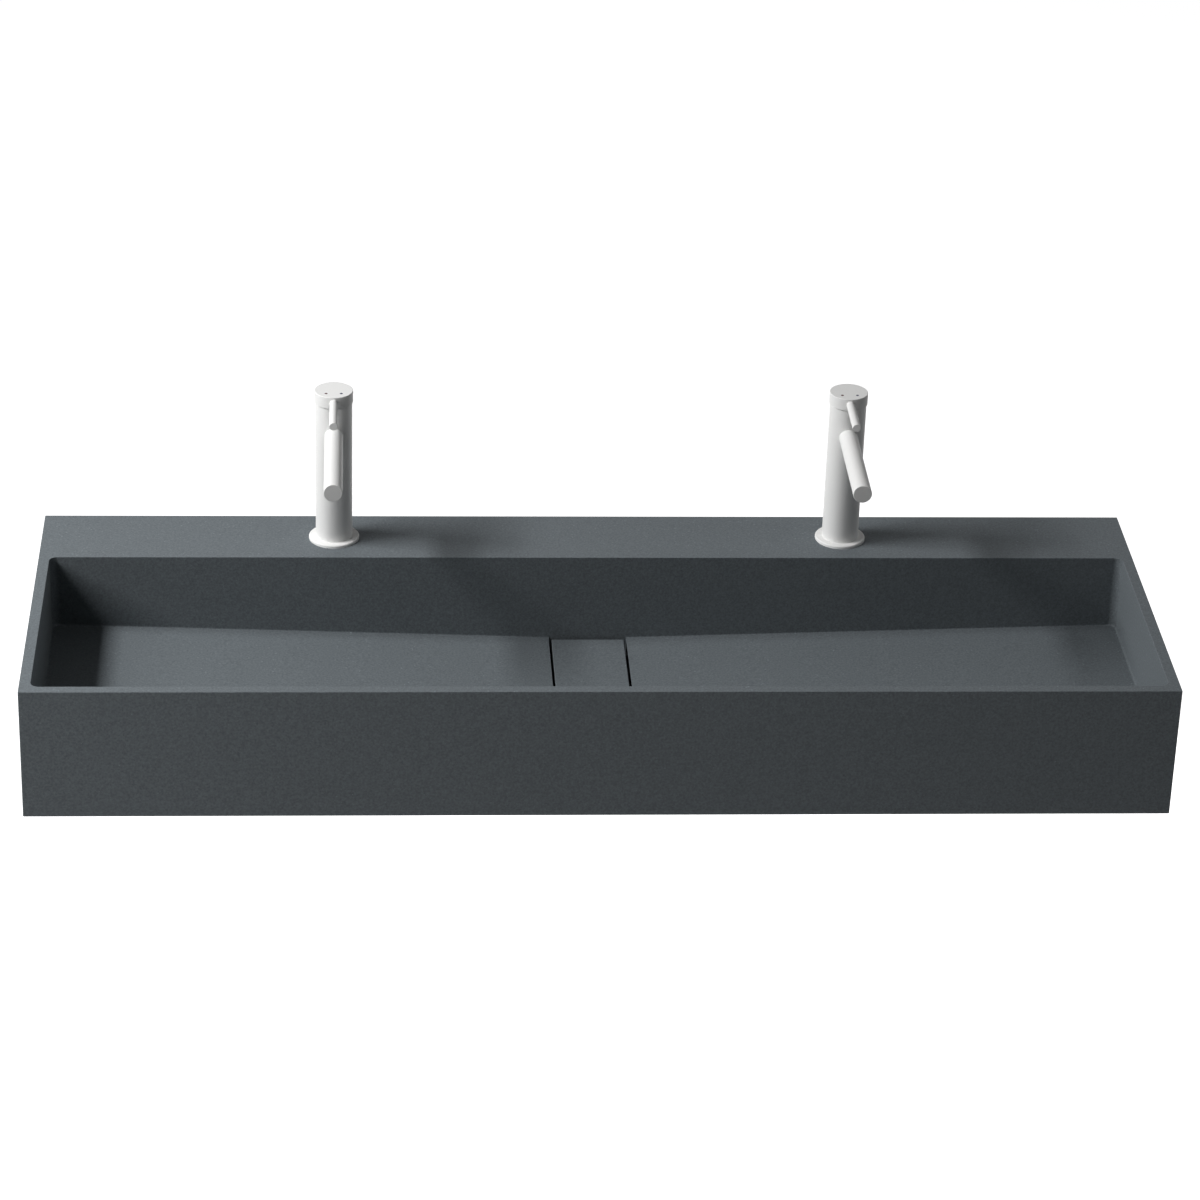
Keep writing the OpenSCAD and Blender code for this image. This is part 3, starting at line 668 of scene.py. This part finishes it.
def buildBarTree():
    # a cylinder whose last rows at each end turn round its edge
    rows, straightShare = 20, 0.6
    tree, at, result = newGeometryTree("roundedBar", [
        ("Radius", "Float", 0.0045), ("Length", "Float", 0.06), ("Edge", "Float", 0.0005),
        ("Around", "Int", 72),
    ])
    bar = geometryNode(tree, "MeshCylinder", {"fill_type": "NGON"}, Vertices=at["Around"],
                       Side_Segments=rows, Radius=at["Radius"], Depth=at["Length"])
    x, y, z = position(tree)
    half = math2(tree, "MULTIPLY", at["Length"], 0.5)
    share = math2(tree, "DIVIDE", math2(tree, "ABSOLUTE", z), half)
    straight = math2(tree, "MINIMUM", math2(tree, "DIVIDE", share, straightShare), 1.0)
    past = math2(tree, "SUBTRACT", share, straightShare)
    bend = math2(tree, "DIVIDE", past, 1 - straightShare, clamp=True)
    bend = math2(tree, "MULTIPLY", bend, math.pi / 2)
    rise = math2(tree, "MULTIPLY", math2(tree, "SINE", bend), at["Edge"])
    reach = math2(tree, "MULTIPLY_ADD", straight, math2(tree, "SUBTRACT", half, at["Edge"]), rise)
    inward = math2(tree, "MULTIPLY", math2(tree, "SUBTRACT", 1.0, math2(tree, "COSINE", bend)), at["Edge"])
    shrink = math2(tree, "SUBTRACT", 1.0, math2(tree, "DIVIDE", inward, at["Radius"]))
    end = math2(tree, "MULTIPLY", math2(tree, "SIGN", z), reach)
    bar = movedTo(tree, bar.outputs[0], math2(tree, "MULTIPLY", x, shrink),
                  math2(tree, "MULTIPLY", y, shrink), end)
    return finishTree(tree, bar, at, result)


def buildBeadTree():
    tree, at, result = newGeometryTree("beadAlongEdges", [
        ("Path", "Geometry", None), ("Radius", "Float", 0.002), ("Ripple Pitch", "Float", 0.003),
        ("Ripple Depth", "Float", 0.15), ("Wander", "Float", 0.0),
    ])
    curve = geometryNode(tree, "MeshToCurve", Mesh=at["Path"])
    step = math2(tree, "DIVIDE", at["Ripple Pitch"], 5.0)  # five points to a ripple
    fine = geometryNode(tree, "ResampleCurve", {"mode": "LENGTH"}, Curve=curve.outputs[0], Length=step)
    along = geometryNode(tree, "SplineParameter").outputs["Length"]
    phase = math2(tree, "MULTIPLY", math2(tree, "DIVIDE", along, at["Ripple Pitch"]), 2 * math.pi)
    ripple = math2(tree, "MULTIPLY", math2(tree, "SINE", phase), at["Ripple Depth"])
    wobble = noise2(tree, geometryNode(tree, "InputPosition").outputs[0], 45.0, 2)
    drift = math2(tree, "SUBTRACT", wobble, 0.5)
    scale = math2(tree, "ADD", math2(tree, "MULTIPLY_ADD", drift, at["Wander"], ripple), 1.0)
    ring = geometryNode(tree, "CurvePrimitiveCircle", Resolution=10, Radius=at["Radius"])
    tube = geometryNode(tree, "CurveToMesh", Curve=fine.outputs[0], Profile_Curve=ring.outputs[0],
                        Scale=scale, Fill_Caps=True)
    return finishTree(tree, tube.outputs[0], at, result)


def buildCopyTree():
    tree, at, result = newGeometryTree("copiesOnPoints", [
        ("Points", "Geometry", None), ("Piece", "Object", None),
    ])
    source = geometryNode(tree, "ObjectInfo", Object=at["Piece"])
    copies = geometryNode(tree, "InstanceOnPoints", Points=at["Points"], Instance=source.outputs["Geometry"])
    return finishTree(tree, copies.outputs[0], at, result)


threadTree = buildThreadTree()
barTree = buildBarTree()
beadTree = buildBeadTree()
copyTree = buildCopyTree()


def pathMesh(name, runs):
    mesh = bpy.data.meshes.new(name)
    points, edges = [], []
    for run, closed in runs:
        first = len(points)
        points += [Vector(p) * mm for p in run]
        edges += [(first + i, first + i + 1) for i in range(len(run) - 1)]
        if closed:
            edges.append((first + len(run) - 1, first))
    mesh.from_pydata(points, edges, [])
    return mesh


def copiesOf(source, name, points, slot, node):
    places = pathMesh(name, [([point], False) for point in points])
    obj = grow(name, copyTree, places, Piece=source, Material=finishes[slot])
    bpy.data.objects.remove(source)
    return settle(obj, "basin", slot, (node,))


# Turned and hexagonal fixings

hexLook = {
    "faceShare": 0.955,  # radius of the end face's circle, of half the width across flats
    "slope": 1.73,  # of the 30 degree chamfer
    "steps": 4,
}


def ringRows(name, rows, closed):
    # rows run round the axis from one end to the other, each a list of points
    bm = bmesh.new()
    made = [[bm.verts.new(Vector(p) * mm) for p in row] for row in rows]
    count = len(rows[0])
    pairs = list(zip(made, made[1:])) + ([(made[-1], made[0])] if closed else [])
    for low, high in pairs:
        for i in range(count):
            j = (i + 1) % count
            bm.faces.new((low[i], low[j], high[j], high[i]))
    if not closed:
        bm.faces.new(made[0])
        bm.faces.new(made[-1])
    bmesh.ops.recalc_face_normals(bm, faces=bm.faces)
    return meshFrom(name, bm)


def onCircle(radius, angle, z):
    return (radius * math.cos(angle), radius * math.sin(angle), z)


def circleRow(radius, z, around):
    return [onCircle(radius, 2 * math.pi * i / around, z) for i in range(around)]


def hexRow(flats, face, fromFace, z, around):
    # a row of a hexagon whose corners are cut by a cone that starts at the end face
    points = []
    for i in range(around):
        angle = 2 * math.pi * i / around
        inFlat = (math.degrees(angle) + 30) % 60 - 30
        radius = min(flats / 2 / math.cos(math.radians(inFlat)), face + fromFace * hexLook["slope"])
        points.append(onCircle(radius, angle + math.pi / 6, z))
    return points


def hexRows(flats, low, high, around):
    face = flats / 2 * hexLook["faceShare"]
    deep = (flats / 2 / math.cos(math.pi / 6) - face) / hexLook["slope"]
    cuts = [deep * step / hexLook["steps"] for step in range(hexLook["steps"] + 1)]
    rows = [hexRow(flats, face, cut, low + cut, around) for cut in cuts]
    return rows + [hexRow(flats, face, cut, high - cut, around) for cut in reversed(cuts)]


def hexNut(name, node, flats, bore, around):
    low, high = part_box(node)
    low, high = low.z / mm, high.z / mm
    inner = [circleRow(bore, high, around), circleRow(bore, low, around)]
    return ringRows(name, hexRows(flats, low, high, around) + inner, closed=True)


print("geometry trees built")


# Waste under the basin

wasteLook = {
    "drainY": wasteTail["pos_m"][1] / mm,
    "edge": 0.35,
    "edgeBeyond": 22.6,
    "boreRadius": 17.5,
    "tailRadius": wasteTail["dims"]["r_mm"],
    "tailTop": -81.0,
    "tailInside": 19.0,
    "pitch": 2.309,  # 11 threads to the inch
    "depth": 0.95,
    "lead": 1.2,
    "threadLength": 30.4,
    "threadStart": 0.3,
    "rootGap": 0.05,
    "sleeveOverlap": 0.35,
    "around": 96,
    "rows": 130,
    "nutFlats": 52.0,
    "nutBore": 21.15,
    "sealEdges": (0.35, 0.5),  # upper and lower seal
    "strainerEdge": 0.18,
}


def wasteEdge(at, angle):
    radius = math.hypot(at.x, at.y - wasteLook["drainY"])
    rounded = radius > wasteLook["edgeBeyond"] or abs(radius - wasteLook["boreRadius"]) < meshRule["flush"]
    return wasteLook["edge"] if angle > 0 and rounded else 0


def narrowTail(bm, root):
    # the threaded sleeve stands on this narrower tail
    centreY = wasteLook["drainY"] * mm
    for v in bm.verts:
        flat = Vector((v.co.x, v.co.y - centreY))
        if v.co.z < wasteLook["tailTop"] * mm and flat.length > wasteLook["tailInside"] * mm:
            flat *= root / flat.length
            v.co.x, v.co.y = flat.x, flat.y + centreY


def closeSleeve(bm, innerRadius):
    rims = [edge for edge in bm.edges if edge.is_boundary]
    for v in bmesh.ops.extrude_edge_only(bm, edges=rims)["geom"]:
        if isinstance(v, bmesh.types.BMVert):
            v.co.x, v.co.y = Vector((v.co.x, v.co.y)).normalized() * innerRadius
    bmesh.ops.bridge_loops(bm, edges=[edge for edge in bm.edges if edge.is_boundary])
    bmesh.ops.recalc_face_normals(bm, faces=bm.faces)


def dressTail(drain):
    look = wasteLook
    root = (look["tailRadius"] - look["depth"] - look["rootGap"]) * mm
    flange = edited(mergedCopy("waste_flange", "wasteFlange"), lambda bm: narrowTail(bm, root))
    softenEdges(flange, wasteEdge)
    smoothed(markEdges(flange))
    settle(flange, "basin", "waste_steel", ("waste_flange",))
    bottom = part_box("waste_flange")[0].z
    sleeve = grow("wasteTailThread", threadTree, Crest_Radius=look["tailRadius"] * mm,
                  Pitch=look["pitch"] * mm, Depth=look["depth"] * mm,
                  Bottom=bottom + look["threadStart"] * mm, Length=look["threadLength"] * mm,
                  Lead=look["lead"] * mm, Around=look["around"], Rows=look["rows"], Capped=False,
                  Material=finishes["waste_steel"])
    edited(sleeve, lambda bm: closeSleeve(bm, root - look["sleeveOverlap"] * mm))
    sleeve.data.transform(drain)
    settle(smoothed(sleeve, sharpFrom=80), "basin", "waste_steel")


def dressWaste():
    look = wasteLook
    drain = Matrix.Translation((0, look["drainY"] * mm, 0))
    dressTail(drain)
    nut = hexNut("wasteNut", "waste_nut", look["nutFlats"], look["nutBore"], look["around"])
    nut.data.transform(drain)
    settle(smoothed(nut, sharpFrom=22), "basin", "brass", ("waste_nut",))
    upper, lower = look["sealEdges"]
    dress("waste_top_gasket", "wasteTopSeal", convex(upper))
    dress("waste_bottom_gasket", "wasteBottomSeal", convex(lower))
    dress("waste_strainer", "wasteStrainer", convex(look["strainerEdge"]), 2)


dressWaste()
print("waste dressed")


# Brackets, blocks and their bolts

bracketLook = {
    "edge": 0.5,
    "bendOuter": 3.0,
    "bendZ": -61.0,
    "weldRadius": 2.4,
    "weldPitch": 2.6,
    "weldRipple": 0.12,  # shares of the radius
    "weldWander": 0.35,
    "weldX": 424.6,
    "weldUp": ((-5.4, -55.6), (-5.4, 36.0)),  # y and z of both ends
    "weldOut": ((-8.0, -55.6), (-76.0, -55.6)),
    "blockX": 400.0,
    "blockYs": (-323.0, -132.0),
    "blockEdge": 0.7,
    "glueRadius": 1.5,
    "gluePitch": 6.0,
    "glueRipple": 0.03,
    "glueWander": 0.5,
    "glueHalf": (23.2, 20.2),
    "glueZ": (-28.4, -27.05),  # on the side of the drain and on the far side
}

boltLook = {
    "flats": 13.0,
    "head": (-67.9, -62.6),
    "shankRadius": 3.95,
    "shankTop": -43.8,
    "faceShare": 0.6,
    "neck": 0.4,
    "point": 0.6,
    "around": 72,
}

washerLook = {
    "outer": 8.0,
    "inner": 4.5,
    "levels": (-62.6, -61.0),
    "soft": 0.25,
    "around": 64,
}


def bracketEdge(at, angle):
    flush = meshRule["flush"]
    if abs(at.y) < flush and abs(at.z - bracketLook["bendZ"]) < flush:
        return bracketLook["bendOuter"]
    return bracketLook["edge"] if angle > 0 else 0


def glueLoop(sign, y):
    # round the foot of a block, on the underside of the sloping floor
    middle = sign * bracketLook["blockX"]
    halfX, halfY = bracketLook["glueHalf"]
    nearZ, farZ = bracketLook["glueZ"]
    near, far, front, back = middle - sign * halfX, middle + sign * halfX, y - halfY, y + halfY
    return [(near, front, nearZ), (far, front, farZ), (far, back, farZ), (near, back, nearZ)]


def boltMesh(look):
    around, (low, high) = look["around"], look["head"]
    shank, top = look["shankRadius"], look["shankTop"]
    rows = [circleRow(look["flats"] / 2 * look["faceShare"], low, around)]
    rows += hexRows(look["flats"], low, high, around)
    for radius, z in ((shank + look["neck"], high), (shank, high + look["neck"]),
                      (shank, top - look["point"]), (shank - look["point"], top)):
        rows.append(circleRow(radius, z, around))
    return smoothed(ringRows("boltSource", rows, closed=False), sharpFrom=22)


def washerMesh(look):
    outer, inner, soft, (low, high) = look["outer"], look["inner"], look["soft"], look["levels"]
    section = [(inner, low + soft), (inner + soft, low), (outer - soft, low), (outer, low + soft),
               (outer, high - soft), (outer - soft, high), (inner + soft, high), (inner, high - soft)]
    rows = [circleRow(radius, z, look["around"]) for radius, z in section]
    return smoothed(ringRows("washerSource", rows, closed=True), sharpFrom=50)


def dressBrackets():
    look = bracketLook
    runs = []
    for side, sign in sides.items():
        dress(side + "_bracket", side + "Bracket", bracketEdge)
        for run in (look["weldUp"], look["weldOut"]):
            runs.append(([(sign * look["weldX"], y, z) for y, z in run], False))
    seam = grow("bracketWelds", beadTree, pathMesh("bracketWelds", runs), Radius=look["weldRadius"] * mm,
                Ripple_Pitch=look["weldPitch"] * mm, Ripple_Depth=look["weldRipple"],
                Wander=look["weldWander"], Material=finishes["bracket_steel"])
    settle(smoothed(seam, sharpFrom=80), "basin", "bracket_steel")
    dress("support_blocks", "bondedBlocks", convex(look["blockEdge"]))
    blocks = [(sign, y) for sign in sides.values() for y in look["blockYs"]]
    loops = [(glueLoop(sign, y), True) for sign, y in blocks]
    glue = grow("blockAdhesive", beadTree, pathMesh("blockAdhesive", loops), Radius=look["glueRadius"] * mm,
                Ripple_Pitch=look["gluePitch"] * mm, Ripple_Depth=look["glueRipple"],
                Wander=look["glueWander"], Material=finishes["rubber"])
    settle(smoothed(glue, sharpFrom=80), "basin", "rubber")
    places = [(sign * look["blockX"], y, 0) for sign, y in blocks]
    copiesOf(boltMesh(boltLook), "bracketBolts", places, "bolt_steel", "bracket_bolts")
    copiesOf(washerMesh(washerLook), "bracketWashers", places, "bolt_steel", "bracket_washers")


dressBrackets()
print("brackets dressed")


# Mixers. Places are millimetres from the foot of the tube.

tapLook = {
    "bodyEdge": 0.6,
    "bodyRim": (19.5, 164.5),  # radius and height from which the tube's top edge lies
    "headRadius": 20.4,
    "headTop": 0.7,
    "headTopZ": 178.5,
    "headBottom": 0.6,
    "headBottomZ": 173.0,
    "leverSlot": (5.2, -15.0),
    "spoutEdge": 0.7,
    "spoutTip": -156.5,
    "flangeEdge": 0.3,
    "flangeRim": (25.0, 0.2),
    "aeratorEdge": 0.25,
    "aeratorLip": 122.5,
    "coreEdge": 0.12,
    "coreLip": 123.2,
}

leverLook = {
    "root": 19.0,  # from the tube's axis
    "edge": 0.5,
    "around": 72,
    "threadRadius": 2.45,
    "pitch": 0.8,
    "depth": 0.4,
    "lead": 0.6,
    "intoRod": 0.6,
    "threadAround": 48,
    "rowsPerTurn": 6,
}

markLook = {
    "dimple": 1.05,
    "radius": 1.6,
    "proud": 0.14,
    "skin": 0.02,
    "turns": (0, 0.35, 0.8, 1.2, 1.45),  # of the dome, in radians
    "around": 40,
}

cartridgeLook = {
    "cartridge_housing": ("CartridgeShell", 0.25),
    "cartridge_nut": ("CartridgeNut", 0.25),
    "cartridge_seals": ("CartridgeSeals", 0.15),
    "swivel_carrier": ("StemCarrier", 0.15),
    "disc_coupler": ("DiscCoupler", 0.15),
    "fixed_disc": ("FixedDisc", 0.15),
    "moving_disc": ("MovingDisc", 0.15),
    "stem_pin": ("StemPin", 0.15),
    "grub_screw": ("GrubScrew", 0.12),
    "base_gasket": ("BaseSeal", 0.2),
}


def dressLever(side, centre):
    look, node = leverLook, side + "_lever"
    finish = finishes[slotOf[node]]
    low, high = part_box(node)
    axis = Vector((centre.x, centre.y, (low.z + high.z) / (2 * mm))) * mm
    root = axis.y - look["root"] * mm
    sideways = Matrix.Rotation(math.radians(90), 4, "X")
    rod = grow(side + "LeverRod", barTree, Radius=(high.z - low.z) / 2, Length=root - low.y,
               Edge=look["edge"] * mm, Around=look["around"], Material=finish)
    rod.data.transform(Matrix.Translation((axis.x, (root + low.y) / 2, axis.z)) @ sideways)
    settle(smoothed(rod, sharpFrom=50), bodyOf[node], slotOf[node], (node,))
    inside = high.y - root
    length = inside + look["intoRod"] * mm
    thread = grow(side + "LeverThread", threadTree, Crest_Radius=look["threadRadius"] * mm,
                  Pitch=look["pitch"] * mm, Depth=look["depth"] * mm, Bottom=-inside, Length=length,
                  Lead=look["lead"] * mm, Around=look["threadAround"],
                  Rows=int(length / mm / look["pitch"] * look["rowsPerTurn"]), Capped=True, Material=finish)
    thread.data.transform(Matrix.Translation((axis.x, root, axis.z)) @ sideways)
    settle(smoothed(thread, sharpFrom=60), bodyOf[node], slotOf[node])


def dressMark(node, name):
    # an enamel drop that stands a little proud of its dimple
    look = markLook
    low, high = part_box(node)
    bottom, top, skin = low.z / mm, high.z / mm, look["skin"]
    section = [(look["dimple"], bottom + skin), (look["dimple"], top - skin),
               (look["radius"] - 2 * skin, top - skin)]
    section += [(look["radius"] * math.cos(turn), top + skin + look["proud"] * math.sin(turn))
                for turn in look["turns"]]
    rows = [circleRow(radius, z, look["around"]) for radius, z in section]
    drop = ringRows(name, rows, closed=False)
    drop.data.transform(Matrix.Translation(((low.x + high.x) / 2, (low.y + high.y) / 2, 0)))
    settle(smoothed(drop, sharpFrom=50), bodyOf[node], slotOf[node], (node,))


def headEdge(at):
    slotX, slotY = tapLook["leverSlot"]
    if at.xy.length <= tapLook["headRadius"]:
        return 0
    if at.z > tapLook["headTopZ"]:
        return tapLook["headTop"]
    besideLever = at.y < slotY and abs(at.x) < slotX
    return tapLook["headBottom"] if at.z < tapLook["headBottomZ"] and not besideLever else 0


def dressTap(side):
    look = tapLook
    centre = Vector((*mixerAxis[side][:2], basinShape["topZ"]))

    def rule(width, where):
        return convex(look[width], lambda at: where(at - centre))

    def beyond(limits):
        radius, height = limits
        return lambda at: at.xy.length > radius and at.z > height

    dress(side + "_tap_body", side + "MixerTube", rule("bodyEdge", beyond(look["bodyRim"])))
    dress(side + "_base_flange", side + "FlangeRing", rule("flangeEdge", beyond(look["flangeRim"])))
    dress(side + "_spout", side + "SpoutTube", rule("spoutEdge", lambda at: at.y < look["spoutTip"]))
    dress(side + "_handle_head", side + "TurningHead",
          lambda at, angle: headEdge(at - centre) if angle > 0 else 0)
    dressLever(side, centre)
    dressMark(side + "_hot_mark", side + "HotDrop")
    dressMark(side + "_cold_mark", side + "ColdDrop")
    dress(side + "_aerator_housing", side + "AeratorRing",
          rule("aeratorEdge", lambda at: at.z < look["aeratorLip"]))
    dress(side + "_aerator_insert", side + "AeratorCore",
          rule("coreEdge", lambda at: at.z < look["coreLip"]), 2)


def dressCartridge(side):
    for part, (name, width) in cartridgeLook.items():
        dress(side + "_" + part, side + name, convex(width), 2)


for side in sides:
    dressTap(side)
    dressCartridge(side)
print("mixers dressed")


# Fixings under the deck

fixingLook = {
    "studY": -43.0,
    "studRadius": 3.92,
    "studPitch": 1.25,
    "studDepth": 0.62,
    "studLead": 0.8,
    "studAround": 36,
    "studRows": 300,
    "nutFlats": 12.99,
    "nutBore": 3.98,
    "nutAround": 72,
    "shoeEdge": 0.3,
}


def dressFixings():
    look = fixingLook
    places = [(mixerAxis[side][0], look["studY"], 0) for side in sides]
    low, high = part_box("tap_studs")
    stud = grow("studSource", threadTree, Crest_Radius=look["studRadius"] * mm, Pitch=look["studPitch"] * mm,
                Depth=look["studDepth"] * mm, Bottom=low.z, Length=high.z - low.z,
                Lead=look["studLead"] * mm, Around=look["studAround"], Rows=look["studRows"], Capped=True,
                Material=finishes["bolt_steel"])
    copiesOf(smoothed(stud, sharpFrom=60), "mixerStuds", places, "bolt_steel", "tap_studs")
    nut = hexNut("nutSource", "stud_nuts", look["nutFlats"], look["nutBore"], look["nutAround"])
    copiesOf(smoothed(nut, sharpFrom=22), "mixerNuts", places, "brass", "stud_nuts")
    dress("shoe_gaskets", "horseshoeSeals", convex(look["shoeEdge"]))
    dress("shoe_washers", "horseshoeWashers", convex(look["shoeEdge"]))


dressFixings()
print("fixings dressed")


# Stage: a pale floor under the wall-hung basin, plain panels and a pale world

stagePlan = {
    "floorZ": -0.86,
    "floorSize": 30.0,
    "floorTone": 0.80,
    "cameraGlow": 0.93,
    "skyGlow": 0.95,
    "ambient": 0.02,
}

lightPlan = {
    "keyPanel": {
        "place": (-2.10, -0.28, 2.05), "aim": (-0.1, -0.2, 0.05), "size": (1.15, 0.45), "watts": 81,
    },
    "frontPanel": {
        "place": (-1.80, -1.20, 1.00), "aim": (-0.1, -0.2, 0.05), "size": (0.50, 0.50), "watts": 12,
    },
    "lowPanel": {
        "place": (-0.80, -2.60, 0.20), "aim": (-0.1, -0.2, 0.05), "size": (1.00, 0.60), "watts": 1.2,
    },
    "rightPanel": {
        "place": (1.60, -0.40, 1.20), "aim": (0.1, -0.2, 0.05), "size": (0.60, 0.60), "watts": 2.0,
    },
    "rearPanel": {
        "place": (2.20, 1.70, 0.10), "aim": (0.1, -0.1, 0.0), "size": (0.90, 0.60), "watts": 8,
        "shine": False,
    },
    "underPanel": {
        "place": (0.40, 1.40, -0.65), "aim": (0.0, -0.1, -0.05), "size": (1.20, 0.60), "watts": 9,
        "shine": False,
    },
}


def seenStraight(tree):
    # 1 for camera, mirror and glass rays, 0 for the light that falls on the object
    rays = tree.nodes.new("ShaderNodeLightPath").outputs
    mirrored = math2(tree, "MAXIMUM", rays["Is Glossy Ray"], rays["Is Transmission Ray"])
    return math2(tree, "MAXIMUM", rays["Is Camera Ray"], mirrored)


def buildFloor(plan):
    half, z = plan["floorSize"] / 2, plan["floorZ"]
    corners = [(-half, -half, z), (half, -half, z), (half, half, z), (-half, half, z)]
    mesh = bpy.data.meshes.new("floorSheet")
    mesh.from_pydata(corners, [], [(0, 1, 2, 3)])
    floor = linked("floorSheet", mesh)
    material = bpy.data.materials.new("paleFloor")
    material.use_nodes = True
    tree = material.node_tree
    tree.nodes.clear()
    out = tree.nodes.new("ShaderNodeOutputMaterial")
    paint = tree.nodes.new("ShaderNodeBsdfDiffuse")
    paint.inputs["Color"].default_value = (plan["floorTone"],) * 3 + (1,)
    glow = tree.nodes.new("ShaderNodeEmission")
    glow.inputs["Color"].default_value = (1, 1, 1, 1)
    setInput(tree, glow.inputs["Strength"], math2(tree, "MULTIPLY", seenStraight(tree), plan["cameraGlow"]))
    both = tree.nodes.new("ShaderNodeAddShader")
    setInput(tree, both.inputs[0], paint.outputs[0])
    setInput(tree, both.inputs[1], glow.outputs[0])
    # seen from below the floor is clear
    clear = tree.nodes.new("ShaderNodeBsdfTransparent")
    mix = tree.nodes.new("ShaderNodeMixShader")
    setInput(tree, mix.inputs[0], tree.nodes.new("ShaderNodeNewGeometry").outputs["Backfacing"])
    setInput(tree, mix.inputs[1], both.outputs[0])
    setInput(tree, mix.inputs[2], clear.outputs[0])
    setInput(tree, out.inputs["Surface"], mix.outputs[0])
    mesh.materials.append(material)


def buildWorld(plan):
    world = bpy.data.worlds.new("paleStudio")
    world.use_nodes = True
    bpy.context.scene.world = world
    tree = world.node_tree
    extra = plan["skyGlow"] - plan["ambient"]
    strength = math2(tree, "MULTIPLY_ADD", seenStraight(tree), extra, plan["ambient"])
    setInput(tree, tree.nodes["Background"].inputs["Strength"], strength)
    tree.nodes["Background"].inputs["Color"].default_value = (1, 1, 1, 1)


def placeLight(name, plan):
    data = bpy.data.lights.new(name, "AREA")
    data.shape = "RECTANGLE"
    data.size, data.size_y = plan["size"]
    data.energy = plan["watts"]
    lamp = bpy.data.objects.new(name, data)
    lamp.location = plan["place"]
    lamp.rotation_euler = (Vector(plan["aim"]) - Vector(plan["place"])).to_track_quat("-Z", "Y").to_euler()
    lamp.visible_camera = False
    lamp.visible_glossy = plan.get("shine", True)  # the fill panels don't mirror in the steel
    bpy.context.scene.collection.objects.link(lamp)


buildFloor(stagePlan)
buildWorld(stagePlan)
for name, plan in lightPlan.items():
    placeLight(name, plan)
print("stage and lights set")
